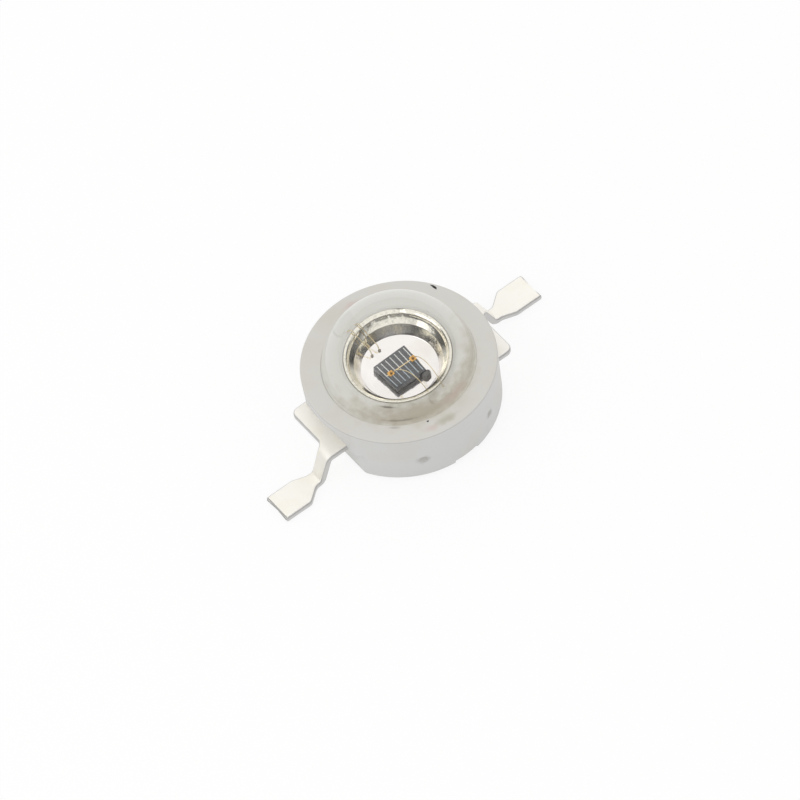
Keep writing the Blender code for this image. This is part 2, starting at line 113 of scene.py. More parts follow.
class HousingSettings(bpy.types.PropertyGroup):
    """Sizes and colours of the moulded housing."""

    brim_thickness: length("Brim thickness", "Height of the round brim", 0.45 * MM)
    upper_flat: length("Upper flat", "Distance of the flat under the brim from the axis", 3.65 * MM)
    lower_flat: length("Lower flat", "Distance of the flat under the lead from the axis", 3.47 * MM)
    parting: length("Parting height", "Where the two flats meet, in the lead's plane", 1.26 * MM)
    draft: length("Draft", "How much the wall narrows down to its foot", 0.05 * MM)
    edge: length("Edge", "Radius of the brim's outer edge", 0.05 * MM)
    well_floor: length("Well floor", "Height of the floor of the well under the lens", 2.40 * MM)
    collar: length("Collar", "Rise of the plastic's fillet round the slug's column", 0.11 * MM)
    window_half: length("Window half width", "Half the bonding window, along X", 0.40 * MM)
    window_x: length("Window place", "Middle of the bonding window at +Y", -0.28 * MM)
    window_near: length("Window start", "Inner side of the bonding window", 1.73 * MM)
    window_far: length("Window end", "Outer side of the bonding window", 2.11 * MM)
    window_depth: length("Window depth", "Depth down to the gel's cloudy lower part", 0.07 * MM)
    recess_depth: length("Foot recess", "Depth of the mould mark in the wall's foot", 0.16 * MM)
    recess_height: length("Recess height", "Height of the mould mark", 0.11 * MM)
    plastic: colour("Plastic", "Moulded polyphthalamide, slightly grey", "CBCBCA")
    top: colour("Top", "The brim's top, which has yellowed a little", "D3D1CB")
    # Painted light: the floor under the lens is drawn lighter than the rest of the plastic, to make up for
    # the shade in the well under the dome
    painted_light_under_lens: colour("Fresh plastic", "The floor under the lens, which has aged less", "DBDAD5")
    aged: colour("Aged plastic", "Warmer patches", "C6BFB0")
    olive: colour("Flux stain", "Olive-brown flux stain on the brim", "A09A80")
    pink: colour("Pink stain", "Faint pink bloom in the plastic", "CDB4AF")
    umber: colour("Brown bloom", "Brownish bloom in front of the cup", "A8A08E")
    # Dark tone: painted shade for the line on the brim's outer edge, and the tone of the dark arcs and
    # patches listed in STAINS and SMUDGES
    dark_tone: colour("Dark line", "Dirt in the joints round the lens and the cup", "6F675C")
    speck: colour("Speck", "The charred specks that lie on the brim", "1C1B1A")


class LensSettings(bpy.types.PropertyGroup):
    """The clear dome and the gel under it, which carry the same refraction."""

    ior: number("IOR", "Refraction of clear silicone", 1.46)
    tint: colour("Tint", "What the clear silicone lets through", "FAFAF8")
    depth: length("Plug depth", "Height of the gel's lowest face in the drawn dome", 2.05 * MM)


class SlugSettings(bpy.types.PropertyGroup):
    """The heat slug and the reflector cup pressed into its top."""

    thickness: length("Flange thickness", "Height of the slug's flange", 0.62 * MM)
    chamfer: length("Chamfer", "Broken edge of the flange", 0.06 * MM)
    column_radius: length("Column radius", "Outer radius of the column", 1.62 * MM)
    rim_radius: length("Rim radius", "Inner radius of the cup's rim", 1.54 * MM)
    floor_radius: length("Floor radius", "Radius of the cup's flat floor", 1.08 * MM)
    cup_depth: length("Cup depth", "Depth of the cup", 0.45 * MM)
    fillet: length("Fillet", "Radius between the cup's floor and wall", 0.03 * MM)
    knee_run: length("Knee run", "From the floor's edge out to where the wall opens", 0.198 * MM)
    knee_rise: length("Knee rise", "Height of that place over the floor", 0.244 * MM)
    lip_run: length("Lip run", "From the floor's edge out to the lip's step", 0.405 * MM)
    lip_rise: length("Lip rise", "Height of that place over the floor", 0.385 * MM)
    lip_step: length("Lip step", "Height of the ragged step in front of the lip", 0.034 * MM)
    silver: colour("Silver", "Bright silver plating on the cup's floor", "FBF7F5")
    tarnish: colour("Tarnish", "Faint yellow bloom on the plating", "EDE7DB")
    cream: colour("Cream", "Warmer plating on the cup's wall and rim", "F4F0E4")
    scorch: colour("Scorch", "Where the wall has gone dark", "6F6B60")


class LeadSettings(bpy.types.PropertyGroup):
    """The two leads, stamped from one strip and bent."""

    thickness: length("Thickness", "Thickness of the strip", 0.28 * MM)
    flange_edge: length("Flange edge", "Where the flange ends outside the housing", 4.34 * MM)
    flange_low: length("Flange end", "Side of the flange away from the neck", -1.78 * MM)
    neck_low: length("Neck side", "One side of the neck", 0.46 * MM)
    neck_high: length("Neck other side", "The other side of the neck", 1.13 * MM)
    neck_end: length("Neck end", "Where the neck begins to widen", 5.35 * MM)
    pad_inner: length("Pad start", "Where the pad has its full width", 5.98 * MM)
    pad_low: length("Pad side", "Side of the pad away from its high side", 0.24 * MM)
    bend_from: length("First bend", "Where the level strip begins to bend down", 4.36 * MM)
    bend_to: length("Second bend", "Where the strip is level again", 5.20 * MM)
    bend_radius: length("Bend radius", "Radius of the strip's middle at a bend", 0.27 * MM)
    arm_inner: length("Arm inner radius", "Inner radius of the arm round the slug", 1.88 * MM)
    arm_outer: length("Arm outer radius", "Outer radius of the arm round the slug", 2.86 * MM)
    tie_bar: length("Tie bar", "Width of a tie bar", 0.33 * MM)
    plating: colour("Plating", "Silver plating on copper", "FEFCF6")
    bloom: colour("Bloom", "Faint yellow bloom on the plating", "FBF5E8")
    # The cut edge's grey is the bare sheared metal, partly painted shade; on the rounded edges of the
    # plated faces it is painted shade
    cut: colour("Cut edge", "Sheared edge of the strip", "CDCCCA")
    bar_end: colour("Bar end", "The tie bars' ends, which were cut last and are bare", "C6C4C1")


class ChipSettings(bpy.types.PropertyGroup):
    """The chip, its epoxy and the metal on its top."""

    fingers: IntProperty(name="Fingers", description="Fingers of the metal comb", default=7)
    finger: length("Finger width", "Width of one finger", 0.030 * MM)
    bus: length("Bus width", "Width of the bus", 0.034 * MM)
    bus_y: length("Bus place", "Distance of the bus from the chip's middle", 0.03 * MM)
    pad: length("Bond pad", "Side of a bond pad", 0.17 * MM)
    body: colour("Chip", "Polished semiconductor", "36373A")
    shaded: colour("Shaded chip", "Its near half, bluer and darker", "20242A")
    finger_metal: colour("Fingers", "Evaporated metal, seen as pale lines", "D9DAD8")
    shaded_metal: colour("Shaded fingers", "The fingers on the near half", "AEB6BC")
    bus_metal: colour("Bus metal", "Thin gold of the bus, nearly cream", "EFD9AE")
    gold: colour("Gold", "Gold of the two pads", "E6B364")
    wire: colour("Wire", "Thin gold wire, which looks pale", "EADAB2")
    # Painted shade: the balls are the wire's gold, and these darker tones stand in for the shade on them
    far_ball_shade: colour("Far ball", "The two balls on the cup's floor, which are greyer", "8C8475")
    ball: colour("Ball", "The wire's melted ball, brown in the shade", "94713F")
    epoxy: colour("Epoxy", "Silver-filled epoxy", "6B6966")


class StageSettings(bpy.types.PropertyGroup):
    """Camera and studio."""

    azimuth: angle("Azimuth", "Where the camera stands", -29)
    elevation: angle("Elevation", "Camera above the floor", 54.33)
    roll: angle("Roll", "Camera's turn about its axis", -10.36)
    distance: length("Distance", "Camera to the middle of the housing's top", 0.300)
    aim_right: length("Aim right", "Frame's middle, right of the housing's top", 0.0567 * MM)
    aim_up: length("Aim up", "Frame's middle, above the housing's top", -1.569 * MM)
    pixels_per_mm: number("Scale", "Pixels to a millimetre", 24.90)
    floor: colour("Floor", "Pale floor", "FBFBFA")
    floor_share: number("Floor white", "How much of the seen floor is plain white", 0.86)
    world: number("World", "Strength of the soft world light", 1.0)
    lamp: number("Lamp", "Power of the soft panel in watts", 0.030)


def add_node(tree, kind, inputs=None, **settings):
    """Adds a shader node, sets its properties and fills its inputs. A socket is linked, a node is
    linked by its first output in use, and anything else is a value, where a colour is opaque."""
    made = tree.nodes.new("ShaderNode" + kind)
    for name, value in settings.items():
        setattr(made, name, value)
    for name, value in (inputs or {}).items():
        socket = made.inputs[name]
        if isinstance(value, bpy.types.Node):
            value = next(output for output in value.outputs if output.enabled)
        if isinstance(value, bpy.types.NodeSocket):
            tree.links.new(value, socket)
        elif socket.type == "RGBA":
            socket.default_value = (*value[:3], 1.0)
        else:
            socket.default_value = value
    return made


def new_material(name):
    """A node material, its tree, and the Object coordinates that its patterns read."""
    made = bpy.data.materials.new(name)
    made.use_nodes = True
    made.node_tree.nodes.clear()
    return made, made.node_tree, add_node(made.node_tree, "TexCoord").outputs["Object"]


def per(size):
    """The scale of a pattern on Object coordinates whose grain is this size in metres."""
    return 1 / size


# Stains and dark arcs on the plastic: radius and half width (mm), direction and half length (degrees) of
# the arc that each covers, its strength and its colour
STAINS = (
    (2.50, 1.10, -100, 120, 0.85, "aged"),
    (2.20, 0.95, -112, 85, 0.75, "umber"),
    (2.40, 0.60, -28, 80, 0.40, "umber"),
    (2.86, 0.12, 160, 60, 0.40, "umber"),
    (2.45, 0.10, -30, 50, 0.30, "umber"),
    (3.56, 0.26, -95, 13, 0.50, "olive"),
    (3.64, 0.24, -106, 7, 0.45, "pink"),
    (3.48, 0.26, 86, 11, 0.55, "pink"),
    (2.40, 0.40, -72, 22, 0.40, "pink"),
    (2.46, 0.110, -126, 22, 0.55, "dark_tone"),
    (2.60, 0.050, -20, 70, 0.22, "dark_tone"),
    (2.60, 0.050, 160, 60, 0.18, "dark_tone"),
    (1.74, 0.050, -140, 13, 0.85, "dark_tone"),
    (3.27, 0.090, -131, 6, 0.35, "dark_tone"),
)
# Dark patches on the wall round the cut tie bars' ends: the same, with a height for the radius
SMUDGES = (
    (1.24, 0.34, -115, 5.5, 0.50, "dark_tone"),
    (1.28, 0.32, -65, 5.0, 0.30, "dark_tone"),
    (1.26, 0.34, 115, 5.5, 0.35, "dark_tone"),
    (1.26, 0.34, 65, 5.5, 0.35, "dark_tone"),
)
# Scorched patches on the cup's wall, where flux ran: the same, without a colour
SCORCHES = (
    (1.40, 0.26, -66, 26, 0.85),
    (1.30, 0.22, 128, 22, 0.30),
    (1.36, 0.20, 165, 18, 0.20),
)


def polar(tree, place):
    """Distance from the axis and direction in plan of a place."""
    plan = add_node(tree, "VectorMath", {0: place, 1: (1, 1, 0)}, operation="MULTIPLY")
    radius = add_node(tree, "VectorMath", {0: plan}, operation="LENGTH")
    part = add_node(tree, "SeparateXYZ", {0: place}).outputs
    return radius, add_node(tree, "Math", {0: part["Y"], 1: part["X"]}, operation="ARCTAN2")


def stain(tree, across, turn, ragged, middle, half_width, direction, half_turn, strength):
    """How strong a stain is: full in the middle of an arc round the axis, and nothing at its
    edge. The two distances from its middle, over its half width and half length, are squared
    and added, the root is taken, and a noise makes the edge ragged."""
    full, none = 0.6, 1.5
    across = add_node(tree, "Math", {0: across, 1: middle * MM}, operation="SUBTRACT")
    across = add_node(tree, "Math", {0: across, 1: half_width * MM}, operation="DIVIDE")
    along = add_node(tree, "Math", {0: turn, 1: math.radians(direction)}, operation="SUBTRACT")
    along = add_node(tree, "Math", {0: along, 1: math.pi, 2: -math.pi}, operation="WRAP")
    along = add_node(tree, "Math", {0: along, 1: math.radians(half_turn)}, operation="DIVIDE")
    pair = add_node(tree, "CombineXYZ", {"X": across, "Y": along})
    distance = add_node(tree, "VectorMath", {0: pair}, operation="LENGTH")
    reach = add_node(tree, "Math", {0: distance, 1: ragged}, operation="ADD")
    limits = {"Value": reach, "From Min": full, "From Max": none, "To Min": strength, "To Max": 0.0}
    return add_node(tree, "MapRange", limits, interpolation_type="SMOOTHSTEP")


def moulded_plastic(s):
    """Injection-moulded polyphthalamide: a satin, faintly milky white with a fine spark-eroded
    grain, a little warmer in patches where the reflow heat has aged it."""
    made, tree, place = new_material("moulded_polyphthalamide")
    radius, turn = polar(tree, place)
    height = add_node(tree, "SeparateXYZ", {0: place}).outputs["Z"]
    # Each share goes from 0 at the first place to 1 at the second
    places = {
        "on top": (height, body_top - 0.05 * MM, body_top - 0.01 * MM),
        # painted light: under the lens the plastic is drawn lighter
        "under the lens": (radius, dome_rim, dome_rim - 0.02 * MM),
        "over the line": (height, body_top - 0.10 * MM, body_top - 0.06 * MM),
        "under the line": (height, body_top - 0.015 * MM, body_top - 0.035 * MM),
        "upper part": (height, 2.0 * MM, 2.1 * MM),
        "outer wall": (radius, 3.85 * MM, 3.90 * MM),
    }
    share = {
        name: add_node(tree, "MapRange", {"Value": value, "From Min": start, "From Max": end})
        for name, (value, start, end) in places.items()
    }
    cloud = add_node(tree, "TexNoise", {"Vector": place, "Scale": per(2.2 * MM), "Detail": 3.0})
    warm = {"Value": cloud, "From Min": 0.50, "From Max": 0.80, "To Max": 0.45}
    warm = add_node(tree, "MapRange", warm)
    # Painted shade: a thin grey line along the brim's rounded outer edge
    edge_shade_strength = 0.22
    both = {0: share["over the line"], 1: share["under the line"]}
    line = add_node(tree, "Math", both, operation="MULTIPLY")
    line = add_node(tree, "Math", {0: line, 1: edge_shade_strength}, operation="MULTIPLY")
    layers = [(share["on top"], s.top), (share["under the lens"], s.painted_light_under_lens), (warm, s.aged), (line, s.dark_tone)]
    ragged = add_node(tree, "TexNoise", {"Vector": place, "Scale": per(0.40 * MM), "Detail": 3.0})
    marked = ((STAINS, radius, share["upper part"]), (SMUDGES, height, share["outer wall"]))
    for marks, across, mask in marked:
        for *mark, tone in marks:
            cover = stain(tree, across, turn, ragged, *mark)
            cover = add_node(tree, "Math", {0: cover, 1: mask}, operation="MULTIPLY")
            layers.append((cover, getattr(s, tone)))
    shade = s.plastic
    for cover, tone in layers:
        shade = add_node(tree, "Mix", {0: cover, 6: shade, 7: tone}, data_type="RGBA")
    # The eroded grain is about 0.02 mm, drawn at 0.06 mm to show
    grain = add_node(tree, "TexNoise", {"Vector": place, "Scale": per(0.06 * MM), "Detail": 2.0})
    rough = add_node(tree, "MapRange", {"Value": grain, "To Min": 0.36, "To Max": 0.52})
    bump = add_node(tree, "Bump", {"Height": grain, "Strength": 0.35, "Distance": 0.010 * MM})
    surface = {"Base Color": shade, "Roughness": rough, "Normal": bump, "IOR": 1.50}
    add_node(tree, "OutputMaterial", {"Surface": add_node(tree, "BsdfPrincipled", surface)})
    return made


def clear_silicone(s):
    """Cast clear silicone: no colour, a soft gloss, and full refraction. Lamps shine through it
    without the bright caustics that a studio tent never makes."""
    made, tree, place = new_material("cast_clear_silicone")
    # Flow marks of the casting, nearly a millimetre apart and very shallow
    flow = add_node(tree, "TexNoise", {"Vector": place, "Scale": per(0.9 * MM), "Detail": 1.0})
    bump = add_node(tree, "Bump", {"Height": flow, "Strength": 0.25, "Distance": 0.006 * MM})
    surface = {
        "Base Color": s.tint,
        "Roughness": 0.0,
        "IOR": s.ior,
        "Transmission Weight": 1.0,
        "Normal": bump,
    }
    shader = add_node(tree, "BsdfPrincipled", surface)
    through = add_node(tree, "BsdfTransparent", {"Color": s.tint})
    path = add_node(tree, "LightPath").outputs
    soft = {0: path["Is Shadow Ray"], 1: path["Is Diffuse Ray"]}
    soft = add_node(tree, "Math", soft, operation="MAXIMUM")
    both = add_node(tree, "MixShader", {0: soft, 1: shader, 2: through})
    add_node(tree, "OutputMaterial", {"Surface": both})
    return made


def plated_silver(name, s, bright, bloom, grain_size, roughness, dent, worked):
    """Silver plating on copper: a warm white metal whose shine breaks up into soft patches, with
    the fine orange peel of the copper under it. The function worked gives the colour and the
    roughness where the piece was pressed or cut."""
    made, tree, place = new_material(name)
    cloud = add_node(tree, "TexNoise", {"Vector": place, "Scale": per(0.8 * MM), "Detail": 4.0})
    share = {"Value": cloud, "From Min": 0.48, "From Max": 0.80, "To Max": 0.6}
    share = add_node(tree, "MapRange", share)
    shade = add_node(tree, "Mix", {0: share, 6: bright, 7: bloom}, data_type="RGBA")
    peel = add_node(tree, "TexNoise", {"Vector": place, "Scale": per(grain_size), "Detail": 3.0})
    low, high = roughness
    rough = add_node(tree, "MapRange", {"Value": peel, "To Min": low, "To Max": high})
    shade, rough = worked(tree, place, s, shade, rough)
    bump = add_node(tree, "Bump", {"Height": peel, "Strength": 0.5, "Distance": dent})
    surface = {"Base Color": shade, "Metallic": 1.0, "Roughness": rough, "Normal": bump}
    add_node(tree, "OutputMaterial", {"Surface": add_node(tree, "BsdfPrincipled", surface)})
    return made


def pressed_wall(tree, place, s, shade, rough):
    """Outside of its floor the cup is warmer. It has tiny pits of the blank, which the press
    stretched up the wall and left dull, and scorched patches."""
    dullness = 0.62
    radius, turn = polar(tree, place)
    out = {"Value": radius, "From Min": 1.09 * MM, "From Max": 1.20 * MM}
    out = add_node(tree, "MapRange", out)
    pits = add_node(tree, "TexNoise", {"Vector": place, "Scale": per(0.07 * MM), "Detail": 4.0})
    pitted = {"Value": pits, "From Min": 0.50, "From Max": 0.72, "To Max": 0.55}
    pitted = add_node(tree, "MapRange", pitted)
    worn = [v * dullness for v in s.cream]
    wall = add_node(tree, "Mix", {0: pitted, 6: s.cream, 7: worn}, data_type="RGBA")
    for mark in SCORCHES:
        cover = stain(tree, radius, turn, pits, *mark)
        wall = add_node(tree, "Mix", {0: cover, 6: wall, 7: s.scorch}, data_type="RGBA")
    return add_node(tree, "Mix", {0: out, 6: shade, 7: wall}, data_type="RGBA"), rough


def cut_strip_and_edge_shade(tree, place, s, shade, rough):
    """The strip's sheared edges are the bare metal, greyer and duller, and so are the tie bars'
    ends out in the wall, which were cut last. The grey on the sheared sides is partly painted
    shade, and on the rounded edges of the plated faces it is painted shade."""
    edge_roughness = 0.5
    aside = add_node(tree, "SeparateXYZ", {0: place}).outputs["Y"]
    aside = add_node(tree, "Math", {0: aside}, operation="ABSOLUTE")
    end = {"Value": aside, "From Min": 3.1 * MM, "From Max": 3.2 * MM}
    end = add_node(tree, "MapRange", end)
    elsewhere = add_node(tree, "Math", {0: 1.0, 1: end}, operation="SUBTRACT")
    edge = {0: sheared_edge_and_edge_shade(tree, place), 1: elsewhere}
    edge = add_node(tree, "Math", edge, operation="MULTIPLY")
    for cover, tone in ((end, s.bar_end), (edge, s.cut)):
        shade = add_node(tree, "Mix", {0: cover, 6: shade, 7: tone}, data_type="RGBA")
    rough = add_node(tree, "Mix", {0: edge, 2: rough, 3: edge_roughness}, data_type="FLOAT")
    return shade, rough


def sheared_edge_and_edge_shade(tree, place):
    """1 on the strip's sheared edges, and on the rounded edges of its plated faces as painted shade,
    and 0 on its plated faces. A level face looks up or down and a sloping one also along X, so there
    only what looks along Y is an edge."""
    normal = add_node(tree, "NewGeometry").outputs["Normal"]
    size = add_node(tree, "VectorMath", {0: normal}, operation="ABSOLUTE")
    face = add_node(tree, "SeparateXYZ", {0: size}).outputs
    reach = add_node(tree, "VectorMath", {0: place}, operation="ABSOLUTE")
    along = add_node(tree, "SeparateXYZ", {0: reach}).outputs["X"]
    # Each share goes from 0 at the first value to 1 at the second
    values = (
        (along, 4.34 * MM, 4.40 * MM),
        (along, 5.28 * MM, 5.22 * MM),
        # Painted shade: faces that tilt a little from level, the rounded edges of the plated faces, away
        # from the bends
        (face["Z"], 0.97, 0.75),
        (face["Z"], 0.40, 0.25),
        (face["Y"], 0.20, 0.55),
    )
    after_flange, before_pad, edge_shade_tilt, upright, sideways = [
        add_node(tree, "MapRange", {"Value": value, "From Min": start, "From Max": end})
        for value, start, end in values
    ]
    bent = add_node(tree, "Math", {0: after_flange, 1: before_pad}, operation="MULTIPLY")
    level = add_node(tree, "Math", {0: 1.0, 1: bent}, operation="SUBTRACT")
    edge = add_node(tree, "Math", {0: edge_shade_tilt, 1: level}, operation="MULTIPLY")
    for other in (upright, sideways):
        edge = add_node(tree, "Math", {0: edge, 1: other}, operation="MAXIMUM")
    return edge


def fine_metal(name, tone, roughness, near=None, ball=None, ball_top=0.0):
    """Gold or evaporated metal: one clear colour, with a fine crystalline grain that softens its
    highlights. A ball of a wire, up to the height given, has a darker colour that is painted shade."""
    made, tree, place = new_material(name)
    grain = add_node(tree, "TexNoise", {"Vector": place, "Scale": per(0.03 * MM), "Detail": 2.0})
    low, high = roughness
    rough = add_node(tree, "MapRange", {"Value": grain, "To Min": low, "To Max": high})
    bump = add_node(tree, "Bump", {"Height": grain, "Strength": 0.3, "Distance": 0.002 * MM})
    shade = tone
    if near is not None:
        shade = near_half(tree, place, shade, near)
    if ball is not None:
        height = add_node(tree, "SeparateXYZ", {0: place}).outputs["Z"]
        under = {"Value": height, "From Min": ball_top + 0.02 * MM, "From Max": ball_top}
        under = add_node(tree, "MapRange", under)
        shade = add_node(tree, "Mix", {0: under, 6: shade, 7: ball}, data_type="RGBA")
    surface = {"Base Color": shade, "Metallic": 1.0, "Roughness": rough, "Normal": bump}
    add_node(tree, "OutputMaterial", {"Surface": add_node(tree, "BsdfPrincipled", surface)})
    return made


def near_half(tree, place, far_tone, near_tone):
    """Painted shade: the chip's colour changes at its bus, from the far half to the darker near one."""
    across = add_node(tree, "SeparateXYZ", {0: place}).outputs["Y"]
    share = {"Value": across, "From Min": 0.02 * MM, "From Max": -0.12 * MM}
    share = add_node(tree, "MapRange", share, interpolation_type="SMOOTHSTEP")
    return add_node(tree, "Mix", {0: share, 6: far_tone, 7: near_tone}, data_type="RGBA")


def dull_solid(name, tone, spread, grain_size, roughness, dent, index, near=None):
    """Polished semiconductor or cured filled epoxy: dark, with fine specks and a satin gloss."""
    made, tree, place = new_material(name)
    speck = add_node(tree, "TexNoise", {"Vector": place, "Scale": per(grain_size), "Detail": 3.0})
    darker, lighter = ([v * k for v in tone] for k in (1 - spread, 1 + spread))
    shade = add_node(tree, "Mix", {0: speck, 6: darker, 7: lighter}, data_type="RGBA")
    if near is not None:
        shade = near_half(tree, place, shade, near)
    rough = {"Value": speck, "To Min": roughness * 0.8, "To Max": roughness * 1.2}
    rough = add_node(tree, "MapRange", rough)
    bump = add_node(tree, "Bump", {"Height": speck, "Strength": 0.4, "Distance": dent})
    surface = {"Base Color": shade, "Roughness": rough, "IOR": index, "Normal": bump}
    add_node(tree, "OutputMaterial", {"Surface": add_node(tree, "BsdfPrincipled", surface)})
    return made


def arc(centre, radius, start, end, count):
    """Points on a circle from one angle to another in degrees: centre plus radius times the
    angle's cosine and sine."""
    turn = np.radians(np.linspace(start, end, count))
    return np.stack([centre[0] + radius * np.cos(turn), centre[1] + radius * np.sin(turn)], 1)


def straight(start, end, count):
    """Evenly spaced points from start to end, both included."""
    return np.linspace(start, end, count)


def full_turn(count):
    """Even angles once round, without the last, which is the first again."""
    return np.linspace(0, 2 * np.pi, count, endpoint=False)


def ease(value, low, high):
    """0 below low and 1 above high, with the cubic 3t^2 - 2t^3 between them."""
    t = np.clip((value - low) / (high - low), 0, 1)
    return t * t * (3 - 2 * t)


def soft_min(a, b, blend):
    """The smaller of two values, rounded over where they differ by less than blend: the minimum
    less a quarter of the square of what is left of blend, over blend."""
    left = np.maximum(blend - np.abs(a - b), 0)
    return np.minimum(a, b) - left * left / (4 * blend)


def grid_mesh(grid, closed_rows=False):
    """Points and faces of a surface given as grid[row, column]. Columns always close into a ring.
    Rows close into a ring too, or else the first and last row are drawn together to a pole."""
    rows, columns = grid.shape[:2]
    index = np.arange(rows * columns).reshape(rows, columns)
    if closed_rows:
        index = np.vstack([index, index[:1]])
    ring = np.hstack([index, index[:, :1]])
    quads = np.stack([ring[:-1, :-1], ring[:-1, 1:], ring[1:, 1:], ring[1:, :-1]], -1)
    points = grid.reshape(-1, 3)
    faces = quads.reshape(-1, 4).tolist()
    if not closed_rows:
        poles = np.stack([grid[0].mean(0), grid[-1].mean(0)])
        first, last = len(points), len(points) + 1
        points = np.vstack([points, poles])
        start, end = ring[0], ring[-1]
        faces += np.stack([start[1:], start[:-1], np.full(columns, first)], -1).tolist()
        faces += np.stack([end[:-1], end[1:], np.full(columns, last)], -1).tolist()
    return points, faces


def facing_out(points, faces):
    """The faces of a closed shell, turned round where they enclose a negative volume. Six times
    the volume is the sum over triangles of a . (b x c)."""
    middle = points.mean(0)
    total = 0.0
    for corners in (3, 4):
        chosen = np.array([f for f in faces if len(f) == corners])
        if len(chosen):
            p = points[chosen] - middle
            for k in range(1, corners - 1):
                total += np.einsum("ij,ij->i", p[:, 0], np.cross(p[:, k], p[:, k + 1])).sum()
    return faces if total > 0 else [face[::-1] for face in faces]


def new_object(name, data):
    """An object in the scene, at the origin."""
    made = bpy.data.objects.new(name, data)
    bpy.context.scene.collection.objects.link(made)
    return made


def add_piece(name, shells, material, nodes=(), sharp=40):
    """One object from closed shells, each a pair of points and faces. Its faces point out, it
    rides on the body, and it stands for the nodes named."""
    points, faces = [], []
    for shell_points, shell_faces in shells:
        start = sum(len(p) for p in points)
        faces += [tuple(start + i for i in face) for face in facing_out(shell_points, shell_faces)]
        points.append(shell_points)
    mesh = bpy.data.meshes.new(name)
    mesh.from_pydata(np.vstack(points).tolist(), [], faces)
    mesh.validate()
    mesh.shade_smooth()
    mesh.set_sharp_from_angle(angle=math.radians(sharp))
    mesh.materials.append(material)
    made = new_object(name, mesh)
    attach(made, "root")
    if nodes:
        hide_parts(*nodes)
    return made


def turned(profile, columns):
    """A profile of radius and height turned round Z: (r cos t, r sin t, z)."""
    turn = full_turn(columns)
    r, z = profile[:, :1], profile[:, 1:]
    return np.stack([r * np.cos(turn), r * np.sin(turn), np.broadcast_to(z, (len(r), columns))], -1)


def rounded_path(corners, count):
    """A path through corners of (x, y, fillet): each inner corner is an arc of its fillet that
    touches both sides, at fillet / tan(half the corner's angle) from the corner."""
    path = [np.array([corners[0][:2]])]
    for before, corner, after in zip(corners, corners[1:], corners[2:]):
        tip = np.array(corner[:2])
        back = np.array(before[:2]) - tip
        ahead = np.array(after[:2]) - tip
        back = back / np.hypot(*back)
        ahead = ahead / np.hypot(*ahead)
        half = math.acos(float(np.clip(back @ ahead, -1, 1))) / 2
        middle = back + ahead
        centre = tip + middle / np.hypot(*middle) * corner[2] / math.sin(half)
        first = tip + back * corner[2] / math.tan(half) - centre
        last = tip + ahead * corner[2] / math.tan(half) - centre
        start = math.degrees(math.atan2(first[1], first[0]))
        sweep = math.remainder(math.degrees(math.atan2(last[1], last[0])) - start, 360)
        path.append(arc(centre, corner[2], start, start + sweep, count))
    path.append(np.array([corners[-1][:2]]))
    return np.vstack(path)


def closer(path, step):
    """The path with more points on its long sides, so that no two are further apart than step."""
    parts = [path[:1]]
    for start, end in zip(path, path[1:]):
        count = int(np.hypot(*(end - start)) // step) + 2
        parts.append(straight(start, end, count)[1:])
    return np.vstack(parts)


def spaced(path, count):
    """The path's points at even distances along it."""
    run = np.concatenate([[0], np.cumsum(np.hypot(*np.diff(path, axis=0).T))])
    at = np.linspace(0, run[-1], count)
    return np.stack([np.interp(at, run, path[:, 0]), np.interp(at, run, path[:, 1])], 1)


def housing_turns():
    """Angles round the housing, closer together at the flats' corners and at the windows' ends."""
    spread, closest = 2.5, 0.12
    even = np.linspace(0, 360, 300, endpoint=False)
    corners = [np.linspace(a - spread, a + spread, 13) for a in (24.2, 29.2, 72, 79, 84)]
    corners = np.concatenate(corners)
    corners = np.concatenate([corners, 180 - corners, 180 + corners, 360 - corners])
    turn = np.unique(np.round(np.concatenate([even, corners]), 3) % 360)
    keep = np.append(np.diff(turn) > closest, True)
    return np.radians(turn[keep])


